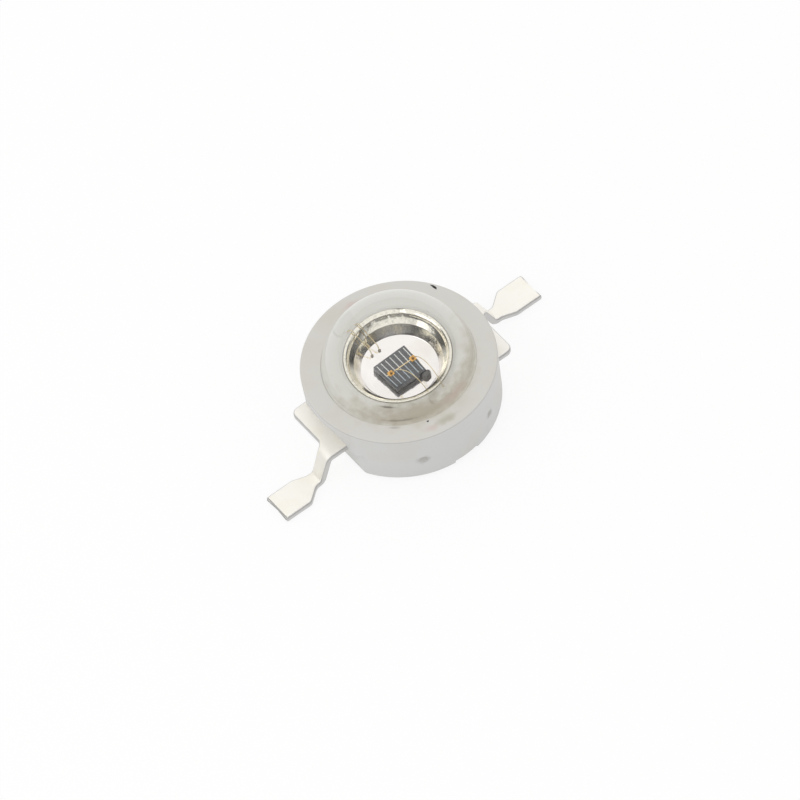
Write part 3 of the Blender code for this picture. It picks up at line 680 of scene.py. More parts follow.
def housing_surface(s):
    """The housing as rings of points. Each row has a radius and height that vary with the turn:
    the wall is the lesser of its drafted radius and the flat's distance over the cosine of the
    turn, and the well's floor drops inside the outline of each bonding window."""
    round_edge, lip = 0.04 * MM, 0.03 * MM
    bore, flange_room, bore_low = 1.63 * MM, 0.63 * MM, 1.0 * MM
    turn = housing_turns()
    cosine, sine = np.abs(np.cos(turn)), np.abs(np.sin(turn))
    brim_low = body_top - s.brim_thickness

    def drafted(z):
        return axis_radius - s.draft * (body_top - z) / (body_top - body_bottom)

    def wall(z, distance):
        return soft_min(np.full_like(turn, drafted(z)), distance / np.maximum(cosine, 0.2), 0.05 * MM)

    def recessed(z, radius):
        """Cuts the foot back on both sides, by the leads' half turn."""
        start, end = (-0.76 * MM, -0.70 * MM), (0.38 * MM, 0.44 * MM)
        along = np.cos(turn) * axis_radius * np.sign(np.sin(turn))
        inside = ease(along, *start) * (1 - ease(along, *end))
        inside = inside * (sine > 0.5)
        top = body_bottom + s.recess_height
        low = 1 - ease(z, top, top + 0.03 * MM)
        cut = np.minimum(radius, (axis_radius - s.recess_depth) / np.maximum(sine, 0.5))
        return radius + (cut - radius) * inside * low

    rows = []

    def ring(radius, z):
        rows.append((np.broadcast_to(radius, turn.shape), np.broadcast_to(z, turn.shape)))

    seat = dome_rim + JOINT
    for r, z in arc((seat + lip, body_top - lip), lip, 180, 90, 5):
        ring(r, z)
    for r in straight(seat + 2 * lip, axis_radius - s.edge - 2 * lip, 5):
        ring(r, body_top)
    for r, z in arc((axis_radius - s.edge, body_top - s.edge), s.edge, 90, 0, 9):
        ring(r, z)
    for z in straight(body_top - s.edge - 0.05 * MM, brim_low + round_edge + 0.01 * MM, 4):
        ring(drafted(z), z)
    # Two ledges: the brim over the upper flat, and the upper flat over the lower one
    corner = arc((0, 0), round_edge, 0, -90, 5)
    outside = axis_radius + MM
    ledges = (
        (brim_low, outside, s.upper_flat, s.parting + 1.5 * round_edge),
        (s.parting, s.upper_flat, s.lower_flat, body_bottom + 0.22 * MM),
    )
    for z, above, below, stop in ledges:
        outer, inner = wall(z, above), wall(z, below)
        share = ease(outer - inner, 0.0, 2 * round_edge)
        ledge = [(outer - round_edge + a, z + round_edge + b) for a, b in corner]
        ledge += [(inner + round_edge * 0.5, np.full_like(turn, z)), (inner, z - 0.3 * round_edge)]
        heights = straight(z + round_edge, z - round_edge, len(ledge))
        for (r, h), even in zip(ledge, heights):
            ring(share * r + (1 - share) * inner, share * h + (1 - share) * even)
        for h in straight(z - 1.6 * round_edge, stop, 5):
            ring(recessed(h, wall(h, below)), h)
    for h in straight(body_bottom + 0.19 * MM, body_bottom + 0.05 * MM, 12):
        ring(recessed(h, wall(h, s.lower_flat)), h)
    foot = recessed(body_bottom, wall(body_bottom, s.lower_flat))
    for a, b in corner:
        ring(foot - round_edge + a, body_bottom + round_edge + b)
    inner_wall = [
        *straight((slug_radius + 0.3 * MM, body_bottom), (slug_radius + JOINT, body_bottom), 3),
        (slug_radius + JOINT, flange_room),
        (bore, flange_room),
        *straight((bore, bore_low), (bore, s.well_floor + s.collar), 3),
    ]
    for r, z in inner_wall:
        ring(r, z)
    near, far = s.window_near, s.window_far
    spans = (
        (1.635 * MM, near - 0.01 * MM, 7),
        (near, near + 0.06 * MM, 5),
        (near + 0.09 * MM, far - 0.08 * MM, 10),
        (far - 0.06 * MM, far + 0.04 * MM, 6),
        (far + 0.10 * MM, seat - 0.05 * MM, 6),
    )
    for r in np.concatenate([straight(*span) for span in spans]):
        rise = s.collar * (1 - ease(r, 1.60 * MM, 1.76 * MM))
        share = window_share(r * np.cos(turn), r * np.sin(turn), s)
        ring(r, s.well_floor + rise * (1 - share) - s.window_depth * share)
    ring(seat, s.well_floor)
    ring(seat, s.well_floor + 0.12 * MM)
    radius = np.array([r for r, _ in rows])
    height = np.array([z for _, z in rows])
    return np.stack([radius * np.cos(turn), radius * np.sin(turn), height], -1)


def window_share(x, y, s):
    """1 inside the round-ended outline of either bonding window and 0 outside it, from the
    distance to a rounded box."""
    corner = (s.window_far - s.window_near) / 3
    middle = (s.window_far + s.window_near) / 2
    half_x, half_y = s.window_half - corner, (s.window_far - s.window_near) / 2 - corner
    across = np.maximum(np.abs(x - np.sign(y) * s.window_x) - half_x, 0)
    along = np.maximum(np.abs(np.abs(y) - middle) - half_y, 0)
    return 1 - ease(np.hypot(across, along) - corner, -0.08 * MM, 0.06 * MM)


class OBJECT_OT_led_housing(bpy.types.Operator):
    """Builds the moulded housing"""

    bl_idname = "object.led_housing"
    bl_label = "Housing"

    def execute(self, context):
        s = context.scene.led_housing
        shell = grid_mesh(housing_surface(s), closed_rows=True)
        add_piece("moulded_housing", [shell], moulded_plastic(s), ["housing"])
        return {"FINISHED"}


# Where the small notch in the cup's rim stands, from +X towards +Y
NOTCH_DEGREES = 52


class OBJECT_OT_led_slug(bpy.types.Operator):
    """Builds the heat slug with its reflector cup"""

    bl_idname = "object.led_slug"
    bl_label = "Heat slug"

    def execute(self, context):
        s = context.scene.led_slug
        floor = column_top - s.cup_depth
        edge, hub = 0.02 * MM, 0.30 * MM
        step_radius, step_foot = s.floor_radius + s.lip_run, floor + s.lip_rise
        wall = rounded_path(
            [
                (hub, floor, 0),
                (s.floor_radius, floor, s.fillet),
                (s.floor_radius + s.knee_run, floor + s.knee_rise, 0.05 * MM),
                (step_radius, step_foot, 0.004 * MM),
                (step_radius + 0.012 * MM, step_foot + s.lip_step, 0.006 * MM),
                (s.rim_radius, column_top - 0.01 * MM, edge),
                (s.column_radius, column_top, edge),
                (s.column_radius, column_top - 0.3 * MM, 0),
            ],
            10,
        )
        flange = rounded_path(
            [
                (s.column_radius, s.thickness + 0.6 * MM, 0),
                (s.column_radius, s.thickness, edge),
                (slug_radius, s.thickness, s.chamfer),
                (slug_radius, 0, s.chamfer),
                (hub, 0, 0),
            ],
            7,
        )
        grid = turned(np.vstack([closer(wall, 0.02 * MM), flange]), 480)
        grid[..., 2] += self.press_marks(s, grid)
        material = plated_silver(
            "coined_silver_plate",
            s,
            s.silver,
            s.tarnish,
            grain_size=0.16 * MM,
            roughness=(0.06, 0.20),
            dent=0.010 * MM,
            worked=pressed_wall,
        )
        add_piece("slug_with_cup", [grid_mesh(grid)], material, ["heat_slug"])
        return {"FINISHED"}

    def press_marks(self, s, grid):
        """Change of height where the cup was pressed: the step in front of the lip comes and goes
        with a sum of sines of the turn, and the rim has one small notch, a bell curve in the
        turn."""
        notch_depth, notch_width = 0.05 * MM, 3.8
        radius, height = np.hypot(grid[..., 0], grid[..., 1]), grid[..., 2]
        turn = np.arctan2(grid[..., 1], grid[..., 0])
        foot = s.floor_radius + s.lip_run
        on_step = (radius < foot + 0.006 * MM) * (height > 2 * MM)
        inside = ease(radius, foot - 0.06 * MM, foot) * on_step
        ragged = np.sin(9 * turn + 0.5) + np.sin(23 * turn + 1.9) + 0.8 * np.sin(41 * turn)
        torn = math.radians(NOTCH_DEGREES + 22)
        away = np.abs(np.remainder(turn - torn + np.pi, 2 * np.pi) - np.pi)
        shallow = ease(away, math.radians(24), math.radians(34))
        fill = s.lip_step * inside * np.maximum(1 - ease(ragged, -0.6, 0.5), shallow)
        off = (turn - math.radians(NOTCH_DEGREES)) / math.radians(notch_width)
        on_rim = ease(radius, s.rim_radius - 0.05 * MM, s.rim_radius) * (height > 2.4 * MM)
        return fill - notch_depth * on_rim * np.exp(-(off**2))


class OBJECT_OT_led_lens(bpy.types.Operator):
    """Builds the clear dome with the gel under it"""

    bl_idname = "object.led_lens"
    bl_label = "Lens"

    def execute(self, context):
        s = context.scene.led_lens
        # The sphere's radius and middle follow from the dome's rise and the radius of its rim
        rise = dome_top - body_top
        drop = (dome_rim**2 - rise**2) / (2 * rise)
        rim = math.degrees(math.atan2(drop, dome_rim))
        near_pole, hub = 89.3, 0.1 * MM
        dome = arc((0, body_top - drop), rise + drop, near_pole, rim, 90)
        sink, wall = 0.005 * MM, 2.4 * MM
        seat = seat_height - JOINT - sink
        foot = np.array([(dome_rim, seat), (wall, seat), (wall, s.depth), (hub, s.depth)])
        shell = grid_mesh(turned(np.vstack([dome, foot]), 320))
        add_piece("clear_dome", [shell], clear_silicone(s), ["lens", "encapsulant"], 30)
        return {"FINISHED"}


def strip_height(x, s):
    """Height and slope angle of the strip's middle over x: level, a circle down, a straight slope
    that touches both circles, a circle up, level again."""
    r = s.bend_radius
    low = s.thickness / 2
    plane = lead_top - s.thickness / 2
    run = s.bend_to - s.bend_from
    lift = 2 * r - (plane - low)
    slope = math.asin(2 * r / math.hypot(run, lift)) - math.atan2(lift, run)
    first_end = s.bend_from + r * math.sin(slope)
    second_start = s.bend_to - r * math.sin(slope)
    first = np.sqrt(np.maximum(r * r - np.square(np.clip(x - s.bend_from, 0, r)), 0))
    second = np.sqrt(np.maximum(r * r - np.square(np.clip(s.bend_to - x, 0, r)), 0))
    fall = plane - r * (1 - math.cos(slope)) - (x - first_end) * math.tan(slope)
    height = np.where(x < first_end, plane - r + first, fall)
    height = np.where(x > second_start, low + r - second, height)
    tilt = np.where(x < first_end, np.arcsin(np.clip((x - s.bend_from) / r, 0, 1)), slope)
    tilt = np.where(x > second_start, np.arcsin(np.clip((s.bend_to - x) / r, 0, 1)), tilt)
    return height, tilt


def lead_edges(s):
    """Plan of the lead at +X as two edges with matching points, from the pad's tip to the end of
    the arm: over the pad and neck they share x, in the flange they share the distance run, and
    round the slug they share the turn."""
    corner, shoulder = 0.07 * MM, 0.45 * MM
    arm_end = -128
    root = math.sqrt(s.arm_outer**2 - s.flange_low**2)
    start = math.sqrt(s.arm_inner**2 - s.neck_high**2)

    def side(pad, inside, neck, rest):
        """From the tip along one side of the pad, with its inner side given, and of the neck."""
        tip = [(lead_tip, inside, 0), (lead_tip, pad, corner), (s.pad_inner, pad, shoulder / 2)]
        return rounded_path([*tip, (s.neck_end, neck, shoulder), *rest], 16)

    flange = [
        (s.flange_edge, s.neck_low, 0.42 * MM),
        (s.flange_edge, s.flange_low, 0.32 * MM),
        (root, s.flange_low, 0),
    ]
    low = side(s.pad_low, s.pad_low + corner * 1.001, s.neck_low, flange)
    high = side(pad_high, pad_high - corner * 1.001, s.neck_high, [(s.flange_edge, s.neck_high, 0)])
    tip = lead_tip - corner * (1 - np.cos(np.radians(np.linspace(0, 90, 8))))
    pad = np.linspace(lead_tip - corner, s.bend_to, 60)
    bends = np.linspace(s.bend_to, s.bend_from, 56)
    x = np.unique(np.concatenate([tip, pad, bends]))[::-1]
    edges = []
    for path, radius, level in ((low, s.arm_outer, s.flange_low), (high, s.arm_inner, s.neck_high)):
        y = np.interp(-x, -path[:, 0], path[:, 1])
        past = path[path[:, 0] < s.bend_from] if path is low else np.array([(start, s.neck_high)])
        first = (s.bend_from, y[-1] if path is low else s.neck_high)
        within = spaced(np.vstack([[first], past]), 60)
        arm = arc((0, 0), radius, math.degrees(math.asin(level / radius)), arm_end, 40)
        edges.append(np.vstack([np.stack([x, y], 1), within[1:], arm[1:]]))
    return edges


def inward(edge, side):
    """Unit vectors in plan, square to the edge and towards the strip."""
    along = np.gradient(edge, axis=0)
    along = along / np.hypot(*along.T)[:, None]
    return side * np.stack([-along[:, 1], along[:, 0]], 1)


def lead_surface(s):
    """The lead as rings of points: the two edges of the plan, a cross-section of two flat faces
    and four rounded edges between them, set square to the strip's slope. The tip's last rows
    thin out along a quarter circle."""
    rounding = 0.08 * MM
    low, high = lead_edges(s)
    into_low, into_high = inward(low, 1), inward(high, -1)
    if (into_low[5] @ (high[5] - low[5])) < 0:
        into_low, into_high = -into_low, -into_high
    at_tip = np.clip((low[:, 0] - (lead_tip - rounding)) / rounding, 0, 1)
    thin = s.thickness / 2 - rounding * (1 - np.sqrt(1 - at_tip**2))
    quarter = np.radians(np.linspace(0, 90, 5))
    rounds = (
        (low, into_low, 1, quarter[::-1]),
        (high, into_high, 1, quarter),
        (high, into_high, -1, quarter[::-1]),
        (low, into_low, -1, quarter),
    )
    ring = []
    for edge, into, up, turn in rounds:
        for t in turn:
            inset = rounding * (1 - math.sin(t))
            ring.append((edge + into * inset, up * (thin - rounding * (1 - math.cos(t)))))
    plan = np.array([p for p, _ in ring]).transpose(1, 0, 2)
    level = np.array([v for _, v in ring]).T
    height, tilt = strip_height(plan[:, :, 0], s)
    x = plan[:, :, 0] + level * np.sin(tilt)
    z = height + level * np.cos(tilt)
    return np.stack([x, plan[:, :, 1], z], -1)


def carried(stations, across, up, wide, deep, section):
    """A section carried along stations: each of its points stands from its station by its first
    part times wide along across and by its second part times deep along up."""
    return (
        stations[:, None, :]
        + (wide[:, None] * section[:, 0])[..., None] * across
        + (deep[:, None] * section[:, 1])[..., None] * up
    )


def tie_bar(s, degrees):
    """A short bar from the arm out to just short of the housing's wall: a rounded rectangle
    carried along the bar's direction."""
    half_y, half_z = s.tie_bar / 2, s.thickness / 2
    rounding, set_back = 0.02 * MM, 0.020 * MM
    section = []
    for sign_y, sign_z, start in ((1, 1, 0), (-1, 1, 90), (-1, -1, 180), (1, -1, 270)):
        centre = (sign_y * (half_y - rounding), sign_z * (half_z - rounding))
        section.append(arc(centre, rounding, start, start + 90, 4))
    turn = math.radians(degrees)
    along = np.array([math.cos(turn), math.sin(turn), 0])
    across = np.array([-math.sin(turn), math.cos(turn), 0])
    end = axis_radius - set_back
    reach = np.array([s.arm_outer - 0.2 * MM, end - rounding, end])
    shrink = np.array([1.0, 1.0, 1 - rounding / half_z])
    up = np.array([0, 0, 1.0])
    points = carried(reach[:, None] * along, across, up, shrink, shrink, np.vstack(section))
    points[..., 2] += lead_top - half_z
    return points


class OBJECT_OT_led_leads(bpy.types.Operator):
    """Builds the two leads, one half a turn from the other"""

    bl_idname = "object.led_leads"
    bl_label = "Leads"

    def execute(self, context):
        s = context.scene.led_leads
        material = plated_silver(
            "stamped_silver_plate",
            s,
            s.plating,
            s.bloom,
            grain_size=0.10 * MM,
            roughness=(0.60, 0.72),
            dent=0.006 * MM,
            worked=cut_strip_and_edge_shade,
        )
        grids = [lead_surface(s), tie_bar(s, -65), tie_bar(s, -115)]
        for name, sign in (("anode_lead", 1), ("cathode_lead", -1)):
            placed = [grid_mesh(grid * np.array([sign, sign, 1])) for grid in grids]
            add_piece(name + "_strip", placed, material, [name])
        return {"FINISHED"}


def square_rings(half, corner, rows, columns=64):
    """Rings of points round a square: each row is a pair of inset and height, and a corner's
    radius shrinks with the inset."""
    count = columns // 4
    outline = []
    for start in (0, 90, 180, 270):
        turn = math.radians(start + 45)
        centre = (half - corner) * math.sqrt(2) * np.array([math.cos(turn), math.sin(turn)])
        outline.append(arc(centre, corner, start, start + 90, count))
    outline = np.vstack(outline)
    size = np.abs(outline).max()
    rings = [(outline * (size - inset) / size, np.full(len(outline), z)) for inset, z in rows]
    return np.array([np.column_stack(ring) for ring in rings])


class OBJECT_OT_led_chip(bpy.types.Operator):
    """Builds the chip, its epoxy and the metal on its top"""

    bl_idname = "object.led_chip"
    bl_label = "Chip"

    def execute(self, context):
        s = context.scene.led_chip
        low, high = box["led_chip"]
        half = (high.x - low.x) / 2
        middle = np.array([(high.x + low.x) / 2, (high.y + low.y) / 2, 0])
        # The saw street is a narrow step all round, a little lower than the top
        street, step = 0.035 * MM, 0.008 * MM
        edge, corner = 0.006 * MM, 0.012 * MM
        rows = [
            (half * 0.9, low.z),
            (edge, low.z),
            (0, low.z + edge),
            (0, high.z - step - edge),
            (edge, high.z - step),
            (street, high.z - step),
            (street + 0.4 * edge, high.z - 0.3 * edge),
            (street + edge, high.z),
            (half * 0.5, high.z),
            (half * 0.9, high.z),
        ]
        grid = square_rings(half, corner, rows) + middle
        dark = dull_solid(
            "sawn_semiconductor", s.body, 0.45, 0.07 * MM, 0.22, 0.002 * MM, 2.0, near=s.shaded
        )
        add_piece("led_chip_body", [grid_mesh(grid)], dark, ["led_chip"])
        self.add_epoxy(s, half, middle)
        self.add_comb(s, half, middle, high.z)
        return {"FINISHED"}

    def add_epoxy(self, s, half, middle):
        """A film whose outline is the chip's square grown by a margin that wanders. Its top falls
        from the chip's side to the outline as a quarter of a wave. The lump at one corner is a
        round dome, squashed, whose outline wanders with the turn."""
        bottom = box["die_attach"][0].z
        thick, margin, wandering = 0.030 * MM, 0.045 * MM, 0.012 * MM
        lump_x, lump_y, lump_radius, lump_height = 0.475 * MM, -0.575 * MM, 0.145 * MM, 0.125 * MM
        turn = full_turn(160)
        square = half / np.maximum(np.abs(np.cos(turn)), np.abs(np.sin(turn)))
        square = soft_min(square, np.full_like(turn, half * 1.33), 0.1 * MM)
        waves = np.sin(3 * turn + 1) + np.sin(7 * turn) * 0.6 + np.sin(11 * turn + 2) * 0.4
        reach = square + margin + wandering * waves
        share = np.array([0.3, 0.80, 0.86, 0.91, 0.95, 0.98, 0.995, 1.0, 1.0, 0.8, 0.3])[:, None]
        fall = np.cos(np.clip((share - 0.80) / 0.20, 0, 1) * np.pi / 2) ** 0.8
        height = np.where(np.arange(11)[:, None] >= 8, bottom, bottom + thick * fall) + 0 * turn
        radius = share * reach
        film = np.stack([radius * np.cos(turn), radius * np.sin(turn), height], -1)
        rise = np.radians(np.linspace(-20, 86, 14))[:, None]
        bulge = lump_radius * (1 + 0.12 * np.sin(2 * turn + 0.4) + 0.07 * np.sin(5 * turn))
        lump = np.stack(
            [
                lump_x + bulge * np.cos(rise) * np.cos(turn),
                lump_y + bulge * np.cos(rise) * np.sin(turn),
                bottom + thick + lump_height * np.sin(rise) + 0 * turn,
            ],
            -1,
        )
        paste = dull_solid("cured_silver_epoxy", s.epoxy, 0.45, 0.05 * MM, 0.40, 0.008 * MM, 1.55)
        shells = [grid_mesh(grid + middle) for grid in (film, lump)]
        add_piece("silver_epoxy", shells, paste, ["die_attach"])

    def add_comb(self, s, half, middle, top):
        """Fingers, bus and pads are flat bars with rounded edges, each a section carried along
        its length."""
        thick, margin, side_room = 0.010 * MM, 0.06 * MM, 0.022 * MM
        span = 2 * half - 2 * margin - side_room
        places = middle[0] - span / 2 + span * np.arange(s.fingers) / (s.fingers - 1)
        bus = middle[1] + s.bus_y
        low, high = middle[1] - (half - margin), middle[1] + (half - margin)
        fingers = [grid_mesh(flat_bar((x, low, top), (x, high, top), s.finger, thick)) for x in places]
        pale = fine_metal("evaporated_aluminium", s.finger_metal, (0.25, 0.45), near=s.shaded_metal)
        add_piece("comb_fingers", fingers, pale, ["top_metal"])
        bar = flat_bar((places[0], bus, top), (places[-1], bus, top), s.bus, thick * 1.15)
        flash = fine_metal("flashed_gold", s.bus_metal, (0.25, 0.45))
        add_piece("comb_bus", [grid_mesh(bar)], flash, ["top_metal"])
        half_pad = s.pad / 2
        rows = [
            (half_pad * 0.9, top),
            (0, top),
            (0, top + thick),
            (0.1 * half_pad, top + 1.3 * thick),
            (half_pad * 0.9, top + 1.3 * thick),
        ]
        pad = square_rings(half_pad, 0.35 * half_pad, rows)
        pads = [grid_mesh(pad + np.array([x, bus, 0])) for x in (places[1], places[-1])]
        plated = fine_metal("plated_gold", s.gold, (0.22, 0.40))
        add_piece("bond_pads", pads, plated, ["top_metal"])


def flat_bar(start, end, width, thick):
    """A flat bar with rounded upper edges: its section is carried from start to end, and is a
    little smaller at both."""
    start, end = np.array(start, float), np.array(end, float)
    along = (end - start) / np.linalg.norm(end - start)
    up = np.array([0, 0, 1.0])
    r = thick * 0.4
    half = width / 2
    upper = [arc((half - r, thick - r), r, 0, 90, 4), arc((-half + r, thick - r), r, 90, 180, 4)]
    section = np.vstack([*upper, [(-half, -0.001 * MM), (half, -0.001 * MM)]])
    stations = np.vstack([start, start + along * r, end - along * r, end])
    narrow, low = 1 - r / half * 0.6, 0.75
    wide, deep = np.array([narrow, 1, 1, narrow]), np.array([low, 1, 1, low])
    return carried(stations, np.cross(up, along), up, wide, deep, section)


def round_loop(start, end, low, high):
    """A Bezier curve whose handles stand at a share of the way from each bond, at the loop's two
    heights."""
    lean = 0.22
    t = ((1 - np.cos(np.linspace(0, np.pi, 90))) / 2)[:, None]
    rise = np.array([*(start[:2] + lean * (end[:2] - start[:2])), low])
    fall = np.array([*(end[:2] - lean * (end[:2] - start[:2])), high])
    u = 1 - t
    return u**3 * start + 3 * u * u * t * rise + 3 * u * t * t * fall + t**3 * end


def straight_loop(start, end, low, high):
    """Up from the bond, straight to a bend over the cup's rim, and steeply down: a path with
    rounded corners in the upright plane of the wire."""
    flat = end[:2] - start[:2]
    run = np.hypot(*flat)
    corners = [
        (0, start[2], 0),
        (0.06 * run, low, 0.03 * MM),
        (0.70 * run, high, 0.07 * MM),
        (run, end[2], 0),
    ]
    path = spaced(rounded_path(corners, 12), 90)
    return np.column_stack([start[:2] + path[:, :1] / run * flat, path[:, 1]])


def wire_surface(path, radius, ball, stitch):
    """A bond wire: a circle carried along the path. Its radius swells to the ball at the start,
    as the square root of one less the square of the distance over the ball's half height, and it
    flattens and widens towards the stitch at the end."""
    ball_radius, ball_height = ball
    flat = path[-1][:2] - path[0][:2]
    flat = flat / np.hypot(*flat)
    side = np.array([-flat[1], flat[0], 0])
    tangent = np.gradient(path, axis=0)
    tangent /= np.linalg.norm(tangent, axis=1)[:, None]
    up = np.cross(tangent, side)[:, None, :]
    run = np.concatenate([[0], np.cumsum(np.linalg.norm(np.diff(path, axis=0), axis=1))])
    left = run[-1] - run
    from_middle = (run - ball_height / 2) / (ball_height / 2)
    swell = np.where(run < ball_height, np.sqrt(np.clip(1 - from_middle**2, 0, 1)), 0)
    neck = radius * (1 + 0.6 * np.exp(-run / (2 * radius)))
    thick = np.maximum(ball_radius * swell, neck)
    thick[0] = ball_radius * 0.55
    foot = np.exp(-((left / (stitch[0] * 0.6)) ** 2))
    wide, deep = (thick * (1 - foot) + foot * size / 2 for size in stitch)
    turn = full_turn(20)
    circle = np.stack([np.cos(turn), np.sin(turn)], 1)
    return carried(path, side, up, wide, deep, circle)


# Bond wires: x of the bond in the cup and of the one on the post, and the loop's two heights over
# the cup's rim (mm). The first two go straight from the cup's floor to the post at +Y, and the
# others round from the chip's pads to the post at -Y
WIRES = {
    1: (-0.27, -0.43, -0.26, 0.11),
    2: (-0.02, -0.15, -0.26, 0.11),
    3: (-0.338, 0.08, 0.60, 1.10),
    4: (0.4325, 0.55, 0.60, 1.10),
}


class OBJECT_OT_led_wires(bpy.types.Operator):
    """Builds the four gold bond wires"""

    bl_idname = "object.led_wires"
    bl_label = "Bond wires"

    def execute(self, context):
        s = context.scene.led_chip
        radius = 0.0125 * MM
        ball = (0.042 * MM, 0.050 * MM)
        stitch = (0.075 * MM, 0.030 * MM)
        inset, over_post = 0.055 * MM, 0.008 * MM
        cup_depth, pad_height = 0.45 * MM, 0.012 * MM
        cup_floor = column_top - cup_depth
        on_pad = box["led_chip"][1].z + pad_height
        for index, (start_x, end_x, first, second) in WIRES.items():
            name = f"bond_wire_{index}"
            low, high = box[name]
            away = index < 3
            start_y = low.y + ball[0] if away else high.y - ball[0]
            end_y = high.y - inset if away else low.y + inset
            start_z = cup_floor if away else on_pad
            start = np.array([start_x * MM, start_y, start_z])
            end = np.array([end_x * MM, end_y, lead_top + over_post])
            loop = straight_loop if away else round_loop
            path = loop(start, end, column_top + first * MM, column_top + second * MM)
            grid = wire_surface(path, radius, ball, stitch)
            tone = s.far_ball_shade if away else s.ball
            gold = fine_metal(
                f"drawn_gold_wire_{index}", s.wire, (0.2, 0.4), ball=tone, ball_top=start_z + ball[1]
            )
            add_piece(name + "_gold", [grid_mesh(grid)], gold, [name])
        return {"FINISHED"}


class OBJECT_OT_led_speck(bpy.types.Operator):
    """Builds the two black specks that lie on the brim"""

    bl_idname = "object.led_speck"
    bl_label = "Specks"

    def execute(self, context):
        s = context.scene.led_housing
        dark_tone = dull_solid("charred_flake", s.speck, 0.4, 0.05 * MM, 0.6, 0.004 * MM, 1.5)
        # Place, half length, half width and half height (mm), and direction (degrees)
        specks = ((3.31, 1.96, 0.165, 0.05, 0.012, 100), (-0.92, -3.13, 0.045, 0.04, 0.006, 0))
        lift = 0.002 * MM
        turn = full_turn(24)
        rise = np.radians(np.linspace(-80, 80, 9))[:, None]
        ragged = 1 + 0.14 * np.sin(3 * turn + 0.6) + 0.08 * np.sin(5 * turn)
        flakes = []
        for x, y, long, wide, tall, degrees in specks:
            u = long * np.cos(rise) * np.cos(turn) * ragged
            v = wide * np.cos(rise) * np.sin(turn) * ragged
            w = tall * np.sin(rise) + 0 * turn
            c, q = math.cos(math.radians(degrees)), math.sin(math.radians(degrees))
            grid = np.stack([x + c * u - q * v, y + q * u + c * v, w], -1) * MM
            grid[..., 2] += body_top + lift
            flakes.append(grid_mesh(grid))
        add_piece("charred_speck", flakes, dark_tone)
        return {"FINISHED"}


def camera_axes(s):
    """Right, up and back of the camera as unit vectors, from its azimuth, elevation and roll."""
    flat = math.cos(s.elevation)
    back = (math.sin(s.azimuth) * flat, -math.cos(s.azimuth) * flat, math.sin(s.elevation))
    back = Vector(back)
    level = Vector((math.cos(s.azimuth), math.sin(s.azimuth), 0))
    over = back.cross(level)
    c, q = math.cos(s.roll), math.sin(s.roll)
    return level * c + over * q, over * c - level * q, back


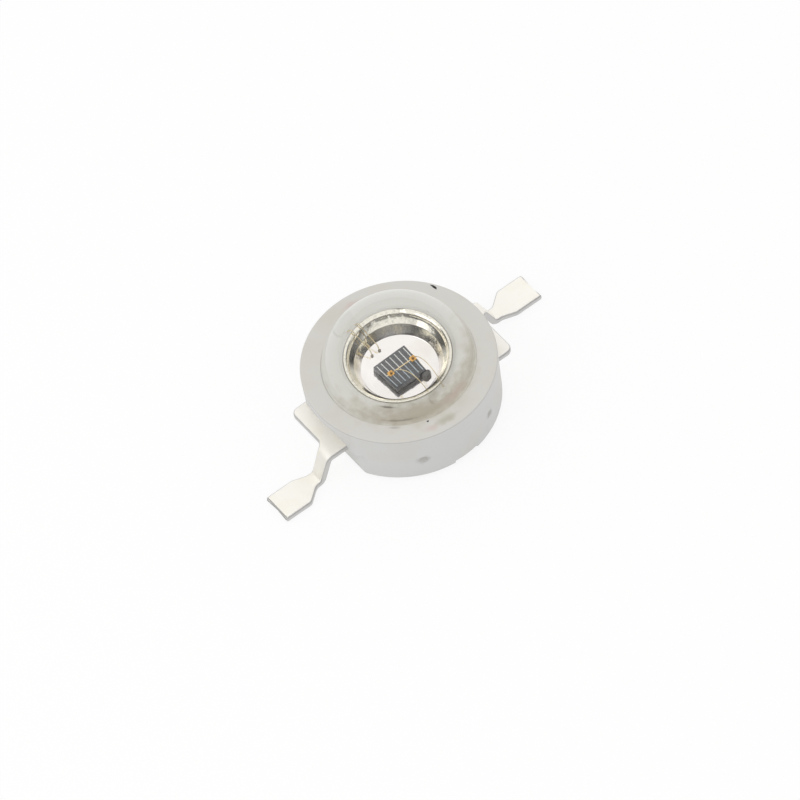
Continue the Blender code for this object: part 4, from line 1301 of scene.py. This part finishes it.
class OBJECT_OT_led_stage(bpy.types.Operator):
    """Builds the floor, the soft studio light and the camera"""

    bl_idname = "object.led_stage"
    bl_label = "Stage"

    def execute(self, context):
        s = context.scene.led_stage
        right, up, back = camera_axes(s)
        self.add_camera(s, right, up, back)
        self.add_floor(s)
        self.add_world(s, back)
        self.add_lamp(s, right, back)
        context.scene.view_settings.view_transform = "Standard"
        return {"FINISHED"}

    def add_camera(self, s, right, up, back):
        camera = bpy.data.cameras.new("camera")
        camera.sensor_width = 36
        pixel = camera.sensor_width / IMAGE_SIDE
        camera.lens = s.pixels_per_mm / MM * s.distance * pixel
        camera.clip_start = 0.01
        camera.clip_end = 20
        made = new_object("camera", camera)
        aim = Vector((0, 0, body_top)) + right * s.aim_right + up * s.aim_up
        turn = Matrix((right, up, back)).transposed().to_4x4()
        made.matrix_world = Matrix.Translation(aim + back * s.distance) @ turn
        bpy.context.scene.camera = made

    def add_floor(self, s):
        """A wide disc: its height is just under the slug, its rings grow with the square of
        their number. The camera, metal and glass see it as nearly plain white, less its shadow."""
        made, tree, place = new_material("matt_white_acrylic")
        grain = add_node(tree, "TexNoise", {"Vector": place, "Scale": per(0.5 * MM), "Detail": 2.0})
        bump = add_node(tree, "Bump", {"Height": grain, "Strength": 0.1, "Distance": 0.005 * MM})
        lit = add_node(tree, "BsdfDiffuse", {"Color": s.floor, "Normal": bump})
        white = add_node(tree, "Emission", {"Color": (1, 1, 1), "Strength": 1.0})
        path = add_node(tree, "LightPath").outputs
        seen = path["Is Camera Ray"]
        for output in ("Is Glossy Ray", "Is Transmission Ray"):
            seen = add_node(tree, "Math", {0: seen, 1: path[output]}, operation="MAXIMUM")
        share = add_node(tree, "Math", {0: seen, 1: s.floor_share}, operation="MULTIPLY")
        mix = add_node(tree, "MixShader", {0: share, 1: lit, 2: white})
        add_node(tree, "OutputMaterial", {"Surface": mix})
        rings, columns, radius = 23, 96, 2.0
        level, thickness = -2e-6, 0.01
        reach = ((np.arange(rings) + 1) / rings) ** 2 * radius
        top = turned(np.stack([reach, np.full(rings, level)], 1), columns)
        under = top[-1:] - np.array([0, 0, thickness])
        points, faces = grid_mesh(np.vstack([top, under]))
        mesh = bpy.data.meshes.new("floor")
        mesh.from_pydata(points.tolist(), [], facing_out(points, faces))
        mesh.materials.append(made)
        new_object("floor", mesh)

    def add_world(self, s, back):
        """A white tent, a touch brighter at the horizon than overhead. Bright metal and glass see
        more of the room through it: low down it is dark on the camera's side and to both sides,
        less so straight behind the camera, and all round the horizon it is greyer."""
        world = bpy.data.worlds.new("light_tent")
        bpy.context.scene.world = world
        world.use_nodes = True
        tree = world.node_tree
        tree.nodes.clear()
        way = add_node(tree, "TexCoord").outputs["Generated"]
        level = tuple(Vector((back.x, back.y, 0)).normalized())
        side_way = add_node(tree, "VectorMath", {0: way, 1: level}, operation="DOT_PRODUCT")
        up_way = add_node(tree, "SeparateXYZ", {0: way}).outputs["Z"]
        sine = {degrees: math.sin(math.radians(degrees)) for degrees in (22, 24, 36)}
        # Each goes from its first value at the first place to its last at the second
        parts = (
            (up_way, sine[22], sine[36], 1.0, 0.0),
            (side_way, -0.50, -0.15, 0.0, 0.90),
            (side_way, 0.72, 0.98, 1.0, 0.70),
            (up_way, 0.0, sine[24], 0.70, 1.0),
            (up_way, 0.0, 1.0, s.world * 0.93, s.world * 0.90),
        )
        names = ("Value", "From Min", "From Max", "To Min", "To Max")
        low_down, sides, centre, horizon, lit_by = [
            add_node(tree, "MapRange", dict(zip(names, part)), interpolation_type="SMOOTHSTEP")
            for part in parts
        ]
        dark = add_node(tree, "Math", {0: sides, 1: centre}, operation="MULTIPLY")
        dark = add_node(tree, "Math", {0: low_down, 1: dark}, operation="MULTIPLY")
        shown = add_node(tree, "Math", {0: 1.0, 1: dark}, operation="SUBTRACT")
        metal_sees = add_node(tree, "Math", {0: shown, 1: horizon}, operation="MULTIPLY")
        path = add_node(tree, "LightPath").outputs
        mirrored = {0: path["Is Glossy Ray"], 1: path["Is Transmission Ray"]}
        mirrored = add_node(tree, "Math", mirrored, operation="MAXIMUM")
        strength = lit_by
        for cover, value in ((mirrored, metal_sees), (path["Is Camera Ray"], 1.0)):
            strength = add_node(tree, "Mix", {0: cover, 2: strength, 3: value}, data_type="FLOAT")
        sky = add_node(tree, "Background", {"Color": (1, 1, 1), "Strength": strength})
        add_node(tree, "OutputWorld", {"Surface": sky})

    def add_lamp(self, s, right, back):
        """One large soft panel over the camera's left, so that the form and the contact shadow
        read."""
        side, distance = 0.10, 0.16
        lamp = bpy.data.lights.new("panel", "AREA")
        lamp.shape = "SQUARE"
        lamp.size = side
        lamp.energy = s.lamp
        made = new_object("panel", lamp)
        toward = (back * 0.75 - right * 0.75).normalized()
        made.location = toward * distance
        made.rotation_euler = toward.to_track_quat("Z", "Y").to_euler()


class VIEW3D_PT_led_emitter(bpy.types.Panel):
    """Lists what the operators build"""

    bl_label = "LED emitter"
    bl_idname = "VIEW3D_PT_led_emitter"
    bl_space_type = "VIEW_3D"
    bl_region_type = "UI"
    bl_category = "LED emitter"

    def draw(self, context):
        for operator in OPERATORS:
            self.layout.operator(operator.bl_idname)
        for name, group in GROUPS.items():
            settings = getattr(context.scene, name)
            column = self.layout.column(align=True)
            for field in group.__annotations__:
                column.prop(settings, field)


GROUPS = {
    "led_housing": HousingSettings,
    "led_lens": LensSettings,
    "led_slug": SlugSettings,
    "led_leads": LeadSettings,
    "led_chip": ChipSettings,
    "led_stage": StageSettings,
}
OPERATORS = (
    OBJECT_OT_led_stage,
    OBJECT_OT_led_housing,
    OBJECT_OT_led_slug,
    OBJECT_OT_led_leads,
    OBJECT_OT_led_chip,
    OBJECT_OT_led_wires,
    OBJECT_OT_led_lens,
    OBJECT_OT_led_speck,
)


def register():
    for name, group in GROUPS.items():
        bpy.utils.register_class(group)
        setattr(bpy.types.Scene, name, PointerProperty(type=group))
    for operator in OPERATORS:
        bpy.utils.register_class(operator)
    bpy.utils.register_class(VIEW3D_PT_led_emitter)


def unregister():
    bpy.utils.unregister_class(VIEW3D_PT_led_emitter)
    for operator in reversed(OPERATORS):
        bpy.utils.unregister_class(operator)
    for name, group in reversed(GROUPS.items()):
        delattr(bpy.types.Scene, name)
        bpy.utils.unregister_class(group)


def main():
    register()
    for operator in OPERATORS:
        group, name = operator.bl_idname.split(".")
        getattr(getattr(bpy.ops, group), name)()


if __name__ == "__main__":
    main()
